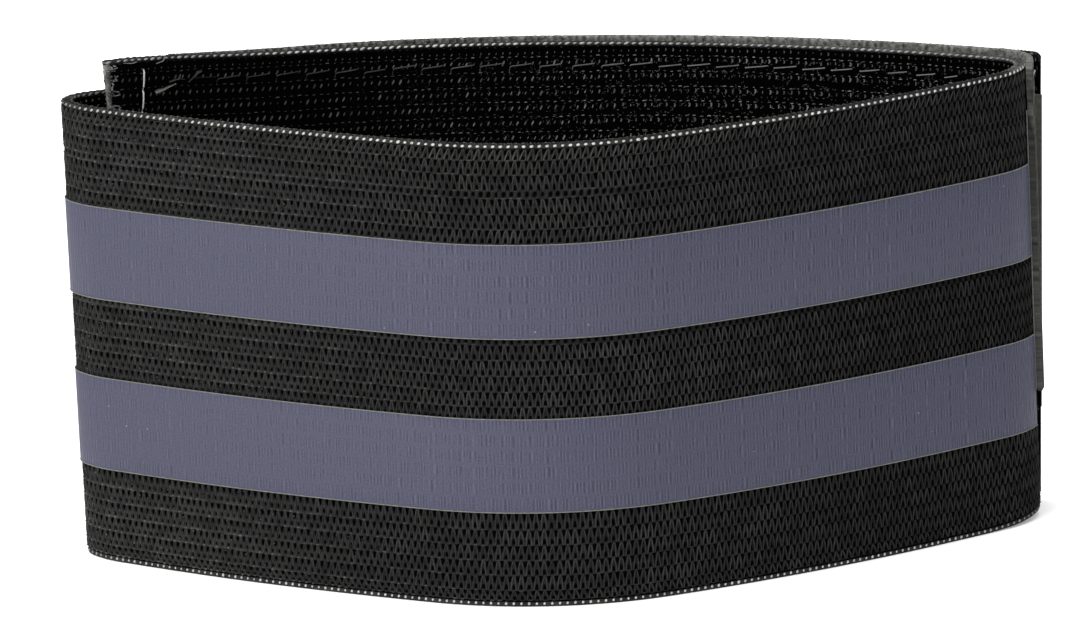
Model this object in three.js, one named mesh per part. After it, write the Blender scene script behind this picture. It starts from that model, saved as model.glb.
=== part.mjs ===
import * as THREE from 'three';

// Reflective armband: a knitted elastic strap with two reflective stripes, wound into a closed,
// pointed oval that stands on its lower edge. The outer end laps over the inner end at the back.
// Millimetres, +Z up, +X along the oval, the front wall towards -Y.

// Elastic strap
const STRAP_WIDTH = 50;
const STRAP_THICKNESS = 1.2;
const STRAP_EDGE_CHAMFER = 0.3;
const HEM_LENGTH = 6.4;
const FOLD_GAP = 0.2;
const LAYER_GAP = 0.15;

// The inner end sits higher than the rest; its lift fades out towards the right corner
const INNER_END_LIFT = 3.6;

// Reflective stripes
const STRIPE_WIDTH = 10.1;
const STRIPE_THICKNESS = 0.25;
const STRIPE_GAP = 0.1;
const LOWER_STRIPE_HEIGHT = 10.3;
const UPPER_STRIPE_HEIGHT = 29.1;

// Loop and hook tapes of the closure. The loop tape is sewn on a little askew: level with the
// strap's upper edge at the hem, and standing above it at the right corner.
const TAPE_HEIGHT = 14;
const LOOP_TAPE_WIDTH = 36.5;
const HOOK_TAPE_WIDTH = 31.8;
const TAPE_THICKNESS = 0.7;
const TAPE_CHAMFER = 0.15;
const LOOP_TAPE_LIFT_SHARE = 0.88;
const HOOK_TAPE_LENGTH = 38;
const HOOK_TAPE_SETBACK = 0.3;

// Outer end: where its layer meets the inner one, and how far it runs past the right corner
const SHOULDER_END = 17;
const SHOULDER_PULL = 5;
const HOOK_RAMP_LENGTH = 34;
const OUTER_END_OVERHANG = 3;

// Leaning stretches: how far the upper edge is pushed along +X, and the lower edge along -X
const INNER_END_LEAN = -1;
const LEFT_CORNER_LEAN = -0.4;
const OUTER_END_LEAN = 0.6;
const LEAN_REACH = 25;

// Middle line of the strap from above, from the inner end clockwise to the left corner.
// length in mm; turn in degrees over that length, clockwise negative.
const START_HEADING = 25.4;
const ROUTE = [
  { name: 'hem_end', length: 5.3, turn: -0.7 },
  { name: 'inner_back', length: 91, turn: -42.5 },
  { name: 'right_corner', length: 6, turn: -89 },
  { name: 'right_run_out', length: 5.5, turn: -33 },
  { name: 'right_flank', length: 43.6, turn: -15 },
  { name: 'front_tip', length: 25.5, turn: -51 },
  { name: 'left_flank', length: 39.6, turn: -9 },
  { name: 'left_run_in', length: 4.5, turn: -26 },
  { name: 'left_corner', length: 4.4, turn: -84 },
];

// Fineness of the walls
const LONGEST_STEP = 4;
const WIDEST_TURN = 9;
const FOLD_STEPS = 8;
const SHOULDER_STEPS = 8;

const radians = THREE.MathUtils.degToRad;

// A station is a place on the strap: x, y, heading in degrees, lift of the lower edge, lean, and
// the distance travelled. Beside a station means to its left, which is the armband's outside.
function beside(station, distance) {
  const angle = radians(station.heading);
  return {
    ...station,
    x: station.x - distance * Math.sin(angle),
    y: station.y + distance * Math.cos(angle),
  };
}

function ahead(station, distance, turn = 0) {
  const halfTurn = radians(turn) / 2;
  const chord = halfTurn === 0 ? distance : distance * Math.sin(halfTurn) / halfTurn;
  const angle = radians(station.heading) + halfTurn;
  return {
    ...station,
    x: station.x + chord * Math.cos(angle),
    y: station.y + chord * Math.sin(angle),
    heading: station.heading + turn,
    travelled: station.travelled + distance,
  };
}

// Walks the rows and gives the stations, with the distance travelled at each row's end
function walk(start, rows) {
  const stations = [start];
  const ends = {};
  for (const row of rows) {
    const steps = Math.ceil(Math.max(row.length / LONGEST_STEP, Math.abs(row.turn) / WIDEST_TURN));
    for (let step = 0; step < steps; step += 1) {
      stations.push(ahead(stations.at(-1), row.length / steps, row.turn / steps));
    }
    ends[row.name] = stations.at(-1).travelled;
  }
  return { stations, ends };
}

function mix(a, b, share) {
  const mixed = {};
  for (const key of Object.keys(a)) {
    mixed[key] = a[key] + (b[key] - a[key]) * share;
  }
  return mixed;
}

// The stretch of a line of stations between two distances, with new stations at its ends
function stretch(stations, from, to) {
  const at = (distance) => {
    const next = Math.max(1, stations.findIndex((station) => station.travelled >= distance));
    const [a, b] = [stations[next - 1], stations[next]];
    return mix(a, b, (distance - a.travelled) / (b.travelled - a.travelled));
  };
  const tooClose = 0.05;
  const inside = stations.filter(
    (station) => station.travelled > from + tooClose && station.travelled < to - tooClose,
  );
  return [at(from), ...inside, at(to)];
}

// A smooth curve from one station to another that keeps both headings
function bridge(from, to, pull, steps) {
  const start = new THREE.Vector2(from.x, from.y);
  const end = new THREE.Vector2(to.x, to.y);
  const leave = new THREE.Vector2(Math.cos(radians(from.heading)), Math.sin(radians(from.heading)));
  const arrive = new THREE.Vector2(Math.cos(radians(to.heading)), Math.sin(radians(to.heading)));
  const curve = new THREE.CubicBezierCurve(
    start,
    start.clone().addScaledVector(leave, pull),
    end.clone().addScaledVector(arrive, -pull),
    end,
  );
  const length = curve.getLength();
  const stations = [];
  for (let step = 1; step < steps; step += 1) {
    const share = step / steps;
    const point = curve.getPoint(share);
    const tangent = curve.getTangent(share);
    const heading = THREE.MathUtils.radToDeg(Math.atan2(tangent.y, tangent.x));
    stations.push({
      x: point.x,
      y: point.y,
      heading,
      lift: 0,
      lean: 0,
      travelled: from.travelled + length * share,
    });
  }
  return { stations, length };
}

// 1 at a place on the line, falling smoothly to 0 at the leaning stretch's reach
function nearness(travelled, place) {
  return 1 - THREE.MathUtils.smoothstep(Math.abs(travelled - place), 0, LEAN_REACH);
}

// The whole strap's middle line, from the hem's raw end to the outer end
function strapLine() {
  const start = { x: 0, y: 0, heading: START_HEADING, lift: 0, lean: 0, travelled: 0 };
  const { stations: loop, ends } = walk(start, ROUTE);
  for (const station of loop) {
    station.lift = INNER_END_LIFT * Math.max(0, 1 - station.travelled / ends.inner_back);
  }

  const foldRadius = (STRAP_THICKNESS + FOLD_GAP) / 2;
  const hem = stretch(loop, 0, HEM_LENGTH).map((station) => beside(station, 2 * foldRadius));
  hem.reverse();
  const folded = hem.map((station) => ({
    ...station,
    heading: station.heading + 180,
    travelled: -station.travelled,
  }));
  const fold = [];
  for (let step = 1; step < FOLD_STEPS; step += 1) {
    const turned = 180 * step / FOLD_STEPS;
    const centre = beside(start, foldRadius);
    const heading = START_HEADING + 180 + turned;
    fold.push({ ...beside({ ...centre, heading }, -foldRadius), lift: INNER_END_LIFT });
  }

  // The outer layer lies behind the inner one, further out where the hook tape is between them
  const plainOffset = STRAP_THICKNESS + TAPE_THICKNESS + 2 * LAYER_GAP;
  const hookStart = ends.inner_back + OUTER_END_OVERHANG - HOOK_TAPE_SETBACK - HOOK_TAPE_LENGTH;
  const layer = stretch(loop, SHOULDER_END, ends.inner_back).map((station) => {
    const share = THREE.MathUtils.smoothstep(
      station.travelled,
      hookStart - HOOK_RAMP_LENGTH,
      hookStart,
    );
    const offset = plainOffset + share * (TAPE_THICKNESS + LAYER_GAP);
    return { ...beside(station, offset), lift: 0 };
  });
  layer.push(ahead(layer.at(-1), OUTER_END_OVERHANG));

  const corner = loop.at(-1);
  const arrival = { ...layer[0], heading: layer[0].heading - 360 };
  const shoulder = bridge(corner, arrival, SHOULDER_PULL, SHOULDER_STEPS);
  const shift = corner.travelled + shoulder.length - layer[0].travelled;
  const outer = layer.map((station) => ({ ...station, travelled: station.travelled + shift }));

  const outerEnd = outer.at(-1).travelled;
  const strap = [...folded, ...fold, ...loop, ...shoulder.stations, ...outer];
  for (const station of strap) {
    station.lean = INNER_END_LEAN * nearness(station.travelled, 0)
      + LEFT_CORNER_LEAN * nearness(station.travelled, ends.left_run_in)
      + OUTER_END_LEAN * nearness(station.travelled, outerEnd);
  }
  return { strap, loop: strap.slice(folded.length + fold.length), ends, outerEnd };
}

// Cross-section of a band: a box with chamfered edges, as [across, up] points
function bandSection(across, thickness, bottom, height, chamfer) {
  const [near, far] = [across - thickness / 2, across + thickness / 2];
  const top = bottom + height;
  return [
    [near, bottom + chamfer],
    [near + chamfer, bottom],
    [far - chamfer, bottom],
    [far, bottom + chamfer],
    [far, top - chamfer],
    [far - chamfer, top],
    [near + chamfer, top],
    [near, top - chamfer],
  ];
}

// A closed solid: the section swept upright through the stations, with both ends capped
function bandGeometry(stations, section) {
  const points = [];
  for (const station of stations) {
    for (const [across, up] of section) {
      const place = beside(station, across);
      const lean = station.lean * (2 * up / STRAP_WIDTH - 1);
      points.push(place.x + lean, place.y, up + station.lift);
    }
  }
  const count = section.length;
  const faces = [];
  for (let row = 0; row < stations.length - 1; row += 1) {
    for (let side = 0; side < count; side += 1) {
      const a = row * count + side;
      const b = row * count + (side + 1) % count;
      faces.push(a, b, b + count, a, b + count, a + count);
    }
  }
  const last = (stations.length - 1) * count;
  for (let side = 1; side < count - 1; side += 1) {
    faces.push(0, side + 1, side, last, last + side, last + side + 1);
  }
  const geometry = new THREE.BufferGeometry();
  geometry.setAttribute('position', new THREE.Float32BufferAttribute(points, 3));
  geometry.setIndex(faces);
  geometry.computeVertexNormals();
  return geometry;
}

function namedMesh(name, geometry, color, roughness) {
  const material = new THREE.MeshStandardMaterial({ color, roughness, metalness: 0 });
  const mesh = new THREE.Mesh(geometry, material);
  mesh.name = name;
  return mesh;
}

function elasticBand(line) {
  const section = bandSection(0, STRAP_THICKNESS, 0, STRAP_WIDTH, STRAP_EDGE_CHAMFER);
  return namedMesh('elastic_band', bandGeometry(line.strap, section), 0x343432, 0.95);
}

// Film on the strap's outer face, from the loop tape's cut end to the strap's outer end
function reflectiveStripe(line, name, height) {
  const across = STRAP_THICKNESS / 2 + STRIPE_GAP + STRIPE_THICKNESS / 2;
  const chamfer = STRIPE_THICKNESS / 4;
  const section = bandSection(across, STRIPE_THICKNESS, height, STRIPE_WIDTH, chamfer);
  const from = line.ends.right_corner + 2 * LAYER_GAP;
  const stations = stretch(line.loop, from, line.outerEnd);
  return namedMesh(name, bandGeometry(stations, section), 0x65656f, 0.6);
}

// Soft tape on the outer face of the strap's inner end, from the hem round the right corner
function loopTape(line) {
  const across = STRAP_THICKNESS / 2 + LAYER_GAP + TAPE_THICKNESS / 2;
  const section = bandSection(across, TAPE_THICKNESS, TAPE_HEIGHT, LOOP_TAPE_WIDTH, TAPE_CHAMFER);
  const from = HEM_LENGTH + 2 * LAYER_GAP;
  const stations = stretch(line.loop, from, line.ends.right_corner).map((station) => ({
    ...station,
    lift: station.lift * LOOP_TAPE_LIFT_SHARE,
  }));
  return namedMesh('loop_tape', bandGeometry(stations, section), 0x4b4b45, 1);
}

// Stiff tape on the inner face of the strap's outer end
function hookTape(line) {
  const across = -(STRAP_THICKNESS / 2 + LAYER_GAP + TAPE_THICKNESS / 2);
  const section = bandSection(across, TAPE_THICKNESS, TAPE_HEIGHT, HOOK_TAPE_WIDTH, TAPE_CHAMFER);
  const to = line.outerEnd - HOOK_TAPE_SETBACK;
  const stations = stretch(line.loop, to - HOOK_TAPE_LENGTH, to);
  return namedMesh('hook_tape', bandGeometry(stations, section), 0x484843, 0.9);
}

const line = strapLine();
const armband = new THREE.Group();
armband.add(elasticBand(line));
armband.add(reflectiveStripe(line, 'reflective_stripe_lower', LOWER_STRIPE_HEIGHT));
armband.add(reflectiveStripe(line, 'reflective_stripe_upper', UPPER_STRIPE_HEIGHT));
armband.add(loopTape(line));
armband.add(hookTape(line));

// The origin is on the surface it stands on, below the middle of its outline
const outline = new THREE.Box3().setFromObject(armband);
const middle = outline.getCenter(new THREE.Vector3());
armband.position.set(-middle.x, -middle.y, -outline.min.z);

export default armband;
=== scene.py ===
import math

import bpy
import numpy as np
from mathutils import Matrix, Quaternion, Vector


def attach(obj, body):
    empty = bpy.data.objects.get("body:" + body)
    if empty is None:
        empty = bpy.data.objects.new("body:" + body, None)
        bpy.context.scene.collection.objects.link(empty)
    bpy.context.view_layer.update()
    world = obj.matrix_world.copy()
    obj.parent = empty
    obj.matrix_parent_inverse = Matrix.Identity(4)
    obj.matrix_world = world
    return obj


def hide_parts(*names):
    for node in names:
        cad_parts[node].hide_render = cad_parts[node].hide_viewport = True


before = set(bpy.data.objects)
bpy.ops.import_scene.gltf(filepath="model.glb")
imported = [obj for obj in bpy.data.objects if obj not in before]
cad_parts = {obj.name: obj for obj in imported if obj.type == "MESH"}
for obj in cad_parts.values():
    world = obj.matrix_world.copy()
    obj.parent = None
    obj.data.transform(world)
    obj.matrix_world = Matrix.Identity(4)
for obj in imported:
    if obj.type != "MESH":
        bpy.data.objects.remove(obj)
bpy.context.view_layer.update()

# A knitted elastic armband with two reflective stripes, closed at the back by loop and hook tape.
# Sizes are millimetres and degrees until a mesh is made. "Along" runs along the strap from the
# fold of its inner end, "across" is off its middle line towards the armband's outside, and "up"
# is above its lower edge. A pair of rows gives places along the strap and the value at each, and
# a run is where along the strap a change begins and ends. A jitter is how far a thing strays, and
# a spread is the least and the greatest share of its size or light.
MM = 0.001
SEED = 7

# Elastic strap, and how it is wound
STRAP_WIDTH = 50
STRAP_THICKNESS = 1.2
HEM_LENGTH = 6.4
FOLD_GAP = 0.2
FOLD_LENGTH = math.pi * (STRAP_THICKNESS + FOLD_GAP) / 2
FOLD_MIDDLE = -FOLD_LENGTH * 0.64
LAYER_GAP = 0.15
INNER_END_LIFT = 3.6
SHOULDER_END = 17
SHOULDER_PULL = 5
HOOK_RAMP_LENGTH = 34
OUTER_END_OVERHANG = 3.95
STRAP_END_SETBACK = 0.45
START = (-45.645, 5.702)
START_HEADING = 25.4
ROUTE = (
    # name, length, turn
    ("hem_end", 5.3, -0.7),
    ("inner_back", 91, -42.5),
    ("right_corner", 6, -89),
    ("right_run_out", 5.5, -33),
    ("right_flank", 43.6, -15),
    ("front_tip", 25.5, -51),
    ("left_flank", 39.6, -9),
    ("left_run_in", 4.5, -26),
    ("left_corner", 4.4, -84),
)
FINE_STEP = 0.2
FOLD_TURN_STEP = 6
SHOULDER_STEPS = 60
FOLD_FINE_STEP = 0.15
END_FINE_STEP = 0.1
END_FINE_STEPS = 9

# Where the strap leans, sags or is pulled, and how far from there it still does
INNER_END_LEAN = -1
RIGHT_CORNER_LEAN = -0.4
RIGHT_CORNER_REACH = 14
LEFT_CORNER_LEAN = -0.5
LEFT_CORNER_PULL = 0.22
OUTER_END_LEAN = 0.42
LEAN_REACH = 25
HEM_RAISE = 0.5
HEM_RAISE_REACH = 20
HEM_PULL = 0.65
HEM_PULL_AT_TOP = 0.5
HEM_PULL_REACH = 11
PULL_TOP_REACH = 6
RIGHT_CORNER_RAISE = 0.7
RIGHT_CORNER_RAISE_SETBACK = 3
RIGHT_CORNER_RAISE_REACH = 12
END_REACH = 4
END_TOP_DROOP = 0.15
END_TOP_REACH = 8
END_BOTTOM_RAISE = 0.9
BOTTOM_RAISE_REACH = 12
END_CORNER_RADIUS = 0.7
CORNER_TOP_REACH = 5
FOLD_TOP_DROOP = 0.3
FOLD_DROOP_REACH = 1.5
HEM_TOP_DROOP = 0.35
HEM_DROOP_RUN = (1.2, 2.6)
# Heights near which the strap's ends bend
BENT_LEVELS = (2, 4, 6, 9, 12, 42, 44, 45, 46, 47, 48, 49)

# Film stripes and closure tapes
FILM_WIDTH = 10.1
FILM_THICKNESS = 0.16
FILM_ROUNDING = 0.06
FILM_ACROSS = 0.72
FILM_START = 0.3
LOWER_FILM = 10.3
UPPER_FILM = 29.1
FILM_MARK_ROW = 1.72
FILM_SMOOTHER_RUN = (120.0, 200.0)
FILM_PAINTED_SHADE_RUN = (165.0, 115.0)
GLUE_OUT = 0.075
GLUE_THICKNESS = 0.13
GLUE_HALF_WIDTH = 0.06
GLUE_ROUNDING = 0.05
TAPE_UP = 14
TAPE_THICKNESS = 0.7
TAPE_ACROSS = STRAP_THICKNESS / 2 + LAYER_GAP + TAPE_THICKNESS / 2
LOOP_TAPE_WIDTH = 36.5
LOOP_TAPE_LIFT_SHARE = 0.88
LOOP_TAPE_ROUNDING = 0.25
LOOP_TAPE_CORD = 0.8
LOOP_TAPE_CORD_DEPTH = 0.05
LOOP_TAPE_JITTER = 0.02
LOOP_TAPE_LOW_TOP = 0.25
LOOP_TAPE_LOW_TOP_RUN = (7, 30)
CUT_EDGE_RADIUS = 0.07
CUT_EDGE_OUT = -0.36
CUT_EDGE_PAST = 0.1
CUT_EDGE_ENDS = (0.2, 5.5)
CUT_EDGE_POINTS = 60
HOOK_TAPE_WIDTH = 31.4
HOOK_TAPE_LENGTH = 38
HOOK_BASE_THICKNESS = 0.3
HOOK_BASE_ROUNDING = 0.12
HOOK_BASE_LEVELS = (42, 43, 44, 45)

# Knit: one stitch is an arch of yarn, and the rows of arches lie one above the other
STITCH = 0.8
GROUND_FACE = 0.45
GROUND_INSET = 0.12
YARN_RELIEF = 0.19
YARN_FOOT = -0.03
END_MARGIN = 0.3
ROWS_FROM_TOP = (
    # height of the row, how many follow each other
    (1.55, 1),
    (1.70, 1),
    (0.80, 1),
    (1.75, 1),
    (1.60, 2),
    (1.80, 6),
    (1.70, 3),
    (1.62, 2),
    (1.95, 6),
    (1.70, 1),
    (1.63, 4),
)
LOWEST_ROW = 0.75
SLIGHTEST_ROW = 0.3
LOWEST_KNITTED_ROW = 1
LOWER_HOLE_SHARE = 0.46
TOP_ROW = (48.22, 49.42)
TOP_ROW_LEAN = 0.34
KNIT_UNDER_TAPE = 12
KNIT_PAST_TAPE_BELOW = 0.4
KNIT_UNDER_CUT_EDGE = 0.2
ROW_DRIFT = 0.1
ROW_DRIFT_LIMIT = 0.3
KNIT_JITTER = 0.02
HOLE_JITTER = (0.1, 0.08)

# How the holes change along the strap, and the light and shade painted on the yarn
KNIT_STOPS = (110, 125, 155, 175, 200)
HOLES = {
    # half width of the holes at each stop, share of the row's height at each stop, and how much
    # narrower the hole is at its top
    "small": ((0.15, 0.15, 0.18, 0.17, 0.12), (0.92, 0.90, 0.82, 0.74, 0.52), 0.45),
    "large": ((0.17, 0.18, 0.24, 0.23, 0.20), (0.95, 0.92, 0.86, 0.82, 0.70), -0.45),
    "round": ((0.16, 0.16, 0.19, 0.18, 0.15), (0.86, 0.84, 0.74, 0.70, 0.58), 0.0),
}
KNIT_LIGHT = {
    "web": (0.085, 0.08, 0.13, 0.16, 0.26),
    "ridge": (0.32, 0.265, 0.38, 0.40, 0.38),
    "crossing": (0.10, 0.14, 0.50, 0.70, 1.10),
}
ROUND_ROW_LIGHT = 0.2
# The corners of a hole, aside and over its middle, and how far its slanting corners are cut
AROUND = ((-1, -1), (0, -1), (1, -1), (1, 0), (1, 1), (0, 1), (-1, 1), (-1, 0))
HOLE_ROUNDING = 0.74
# The rims of the holes are painted darker than the web, as painted shade
HOLE_LIGHT_SHARE = 0.4
# Bars lie between the knitted rows, lines within them, and sides between two holes
BAR_RELIEF_SHARE = 0.8
LINE_RELIEF_SHARE = 0.5
SIDE_RELIEF_SHARE = 0.6
# Bars are painted lighter than the web, as painted light
BAR_BRIGHTER = 1.3
WEB_SPREAD = (0.7, 1.3)
# Points up one side of an arch: share of a stitch, share of the row's height
STRAIGHT_LEG = ((0.05, 0.02), (0.15, 0.25), (0.25, 0.53), (0.35, 0.78), (0.44, 0.92))
ROUND_LEG = ((0.14, 0.02), (0.18, 0.25), (0.24, 0.53), (0.32, 0.78), (0.43, 0.93))
ARCH_TOP = (0.5, 0.97)
ARCH_ROUNDNESS = (0.3, 0.4, 1.0, 0.8, 0.1)
ARCH_WIDTHS = (0.19, 0.19, 0.19, 0.17, 0.12)
ARCH_FOOT_SHARE = 0.75
ARCH_BODY_SHARE = 0.35
ARCH_JITTER = (0.012, 0.015)
ARCH_WIDTH_JITTER = 0.12
ARCH_SPREAD = (0.65, 1.3)
ARCH_FIBRE_SPREAD = (0.8, 1.2)
# In the top row one leg of each arch gets a painted highlight, the other painted shade
TOP_ROW_SHINE = (-0.2, 0.8)
TOP_ROW_SHINE_FEET = (TOP_ROW[0] - 1, TOP_ROW[0] - 0.5)
CROSSING_LENGTHS = (0.4, 0.4, 0.56, 0.5, 0.32)
CROSSING_HEIGHTS = (0.1, 0.1, 0.14, 0.17, 0.24)
CROSSING_SPREAD = (0.7, 1.2)
CROSSING_LIGHT_SPREAD = (0.3, 1.05)
CROSSING_LIGHT_POWER = 1.5
CROSSING_SIDE_LIGHT = 0.5
CROSSING_SHAPE = (
    # share of half the length, share of half the height, ridge above the knit's
    (-1, 0.4, -0.04),
    (-0.4, 1.0, 0.06),
    (0.4, 1.0, 0.06),
    (1, 0.4, -0.04),
)
# The outside has painted light at its lower left and painted shade in the middle of its right
LIGHTER_ALONG = (185, 215)
LIGHTER_BELOW = (5, 12)
LIGHTER_BY = 0.32
DARKER_ALONG = (112, 130)
DARKER_ABOVE = (12, 20)
DARKER_BELOW = (30, 35)
DARKER_BY = 0.24

# Inner face: its rows, and the shapes of its stitches as seen from inside
SHORT_ROW = 48.5
SHORT_ROW_SIZES = (0.5, 0.7)
INNER_ROWS = (49.05, 47.95, 46.25, 44.6, 43.0, 41.33, 39.7)
INNER_ROW_PITCH = 1.64
INNER_PAST_CORNER = 14
INNER_ROWS_END = 2
INNER_ROW_SHIFT = 0.2
INNER_SIZE = (0.95, 0.22)
INNER_SIZE_LIMITS = (0.35, 1.3)
INNER_JITTER = (0.03, 0.035)
INNER_SPREAD = (0.3, 1.0)
INNER_SIDE_LIGHT = 0.1
INNER_LOOP = (
    # along and up from the stitch's middle, half width, ridge
    (0.09, 0.22, 0.06, 0.05),
    (0.06, 0.10, 0.11, 0.16),
    (0.0, 0.0, 0.12, 0.18),
    (-0.06, -0.10, 0.11, 0.16),
    (-0.10, -0.22, 0.06, 0.05),
)
INNER_HOOK = (
    (-0.04, 0.20, 0.05, 0.05),
    (0.05, 0.13, 0.09, 0.14),
    (0.08, 0.02, 0.12, 0.18),
    (0.04, -0.09, 0.11, 0.15),
    (-0.04, -0.17, 0.06, 0.05),
)
INNER_FLOAT = (
    (-0.16, -0.02, 0.05, 0.04),
    (0.0, 0.01, 0.09, 0.12),
    (0.16, 0.0, 0.05, 0.04),
)
LOOP_ASIDE = 0.06
FLOAT_ASIDE = -0.02
# Along this run the inner loops become hooked, and the stitches of the tape's seam straight
HOOKED_RUN = (45, 62)
RIGHT_ROWS_UP = 0.25
FLOAT_RAISE_LEFT = 0.70
FLOAT_RAISE_RIGHT = 0.46
# Painted light on the inner loops: dim near the hem, lighter further along where the inner face is lit
INNER_LIGHT = ((0, 22, 35, 50, 70, 110), (0.26, 0.32, 0.62, 1.0, 1.25, 1.25))
# The outer end's inner face shows above and below the hook tape
END_ROWS_LENGTH = 12
END_ROWS_CLEAR = 0.5
END_ROWS_JITTER = (0.08, 0.1)
END_ROWS_SPREAD = (0.1, 0.5)
END_YARN = (0.09, 0.14, 0.2)
END_FIBRES_RUN = (-5, -0.1)
END_FIBRES_PER_MM = 22

# Loose fibres. A yarn is its half width, its ridge and how light its sides are, as painted shade.
FIBRES = {
    # reach, yarn, spread, run along which painted light fades them in
    "outside": (0.11, (0.07, YARN_RELIEF + 0.03, 0.5), (0.3, 1.2), (175, 205)),
    "inside": (0.1, (0.05, 0.06, 0.2), (0.2, 0.65), (20, 70)),
    "outer end": (0.2, (0.08, 0.12, 0.2), (0.1, 0.6), None),
    "fold": (0.14, (0.07, 0.10, 0.4), (0.8, 2.0), None),
}
OUTSIDE_FIBRES_START = 178
OUTSIDE_FIBRES_UP = (0.8, 49.5)
OUTSIDE_FIBRES_PER_MM = 26
OUTSIDE_FIBRES_COUNTED_TO = 49
INSIDE_FIBRES = 4000
INSIDE_FIBRES_START = 25
INSIDE_FIBRES_UP = (30, 48.5)
FOLD_FIBRES = 900

# The frayed fold, the tangle beside it, and lint
FOLD_BAND = (-1.9, -0.34)
FOLD_BAND_NARROWING = ((41, 49), (0.72, 0.93))
FUZZ_STEPS = (0.12, 0.16)
FUZZ_PATCH = (3, 4)
FUZZ_DEPTHS = (0.04, 0.11)
FUZZ_PATCH_SPREAD = (0.2, 1.2)
FUZZ_SPREAD = (0.6, 1.2)
FUZZ_LEAST_LIGHT = 0.1
TANGLE_YARNS = 9
TANGLE_PLACE = -0.4
TANGLE_RADII = ((0.14, 0.24), (0.22, 0.38))
TANGLE_REACH = (0.07, 0.15)
TANGLE_TURNS = (0.25, 0.6)
TANGLE_SPREAD = (0.1, 1.2)
TANGLE_YARN = (0.075, 0.16, 0.3)
LINT_SHAPES = (
    # how light it is, and along, up and half width of each point
    (0.8, (4.0, 46.0, 0.24), (4.4, 46.1, 0.34), (5.1, 46.3, 0.2), (5.8, 46.6, 0.13), (6.6, 46.9, 0.04)),
    (0.22, (5.8, 47.1, 0.08), (6.5, 47.3, 0.1), (7.1, 47.4, 0.08), (7.7, 47.3, 0.04)),
    (0.22, (6.9, 47.3, 0.1), (7.1, 47.6, 0.12), (7.25, 47.9, 0.06)),
    (0.2, (8.1, 47.0, 0.04), (8.6, 47.4, 0.08), (9.0, 47.7, 0.13), (9.3, 48.0, 0.24), (9.7, 48.1, 0.14)),
    (0.1, (8.5, 47.4, 0.04), (9.8, 47.45, 0.05), (11.2, 47.45, 0.03)),
    (0.8, (0.5, 49.5, 0.05), (1.6, 49.4, 0.09), (2.1, 49.55, 0.06)),
    (0.8, (4.4, 49.2, 0.05), (5.3, 49.45, 0.08), (5.5, 49.9, 0.05)),
)
# Its places along are from the strap's outer end
END_THREAD = (
    (1.0, (-0.62, 47.3, 0.05), (-0.57, 47.55, 0.11), (-0.47, 47.85, 0.10), (-0.40, 48.1, 0.04)),
)
LINT_RIDGE = 0.24
LINT_SIDE_LIGHT = 0.12
LINT_SPREAD = (0.8, 1.1)

# Both edges: a row of small loops on each side, yarns across the rim, and a cord under them
BEAD_RINGS = 4
BEAD_SIDES = 6
EDGE_LOOPS = (
    # name, across, up, half length, half depth, half height, tilt at the front and elsewhere
    ("edge_loops_outer_top", 0.47, STRAP_WIDTH - 0.30, 0.25, 0.17, 0.16, -8, -30),
    ("edge_loops_outer_bottom", 0.45, 0.35, 0.20, 0.16, 0.17, -60, -60),
    ("edge_loops_inner_top", -0.48, STRAP_WIDTH - 0.25, 0.30, 0.15, 0.15, 14, 14),
    ("edge_loops_inner_bottom", -0.45, 0.36, 0.18, 0.12, 0.12, 14, 14),
)
EDGE_LOOP_SIZE_JITTER = 0.08
EDGE_LOOP_TILT_JITTER = 6
EDGE_LOOP_SPREAD = (0.7, 1.15)
FRONT_START_RUN = (105, 125)
FRONT_END_RUN = (172, 190)
# Painted light and shade along the strap on the inner and outer edge loops, and less light on the lower
# edge's
INNER_EDGE_LIGHT = (
    (0, 15, 22, 40, 50, 95, 110, 180, 200),
    (0.4, 0.6, 1.1, 1.1, 0.7, 0.6, 0.1, 0.1, 0.2),
)
OUTER_EDGE_LIGHT = ((0, 95, 105, 200, 215, 223, 236), (0.6, 0.7, 1.0, 1.0, 0.8, 0.3, 0.25))
LOWER_EDGE_LIGHT = ((101, 112, 125), (0.35, 0.7, 1.0))
# Painted light along the strap on the rim's yarns and cords
RIM_LIGHT = (
    (0, 20, 60, 80, 103, 106, 165, 195, 220, 230),
    (0.4, 0.42, 0.65, 1.4, 1.4, 0.25, 0.25, 0.7, 0.5, 0.3),
)
RIM_YARN = (
    # along, across, and height over the edge
    (-0.1, 0.46, -0.32),
    (-0.04, 0.4, -0.16),
    (0.06, 0.05, -0.09),
    (0.14, -0.38, -0.14),
)
RIM_YARN_RADIUS = 0.075
RIM_YARN_JITTER = (0.05, 0.02)
RIM_YARN_SPREAD = (0.6, 1.1)
RIM_YARN_BRIGHTER = 1.3
RIM_EDGES = (
    # name, which way is out, height of the edge
    ("rim_yarns_top", 1, STRAP_WIDTH),
    ("rim_yarns_bottom", -1, 0.08),
)
EDGE_CORDS = (
    # name, bottom, top
    ("edge_cord_top", STRAP_WIDTH - 0.60, STRAP_WIDTH - 0.14),
    ("edge_cord_bottom", 0.02, 0.55),
)
CORD_HALF_WIDTH = 0.51
CORD_ROUNDING = 0.12
CORD_SHARE = ((0, 20, 220, 240), (0.5, 0.7, 0.7, 0.15))
CORD_OUTSIDE_LIGHT = 0.3
CORD_SUNK_LIGHT = 0.03
CORD_SUNK_BELOW = 0.35
CORD_PAINTED_SHADE_RUN = (222, 232)
CORD_PAINTED_SHADE_SHARE = 0.85
CORD_SPREAD = (0.6, 1.2)
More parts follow.
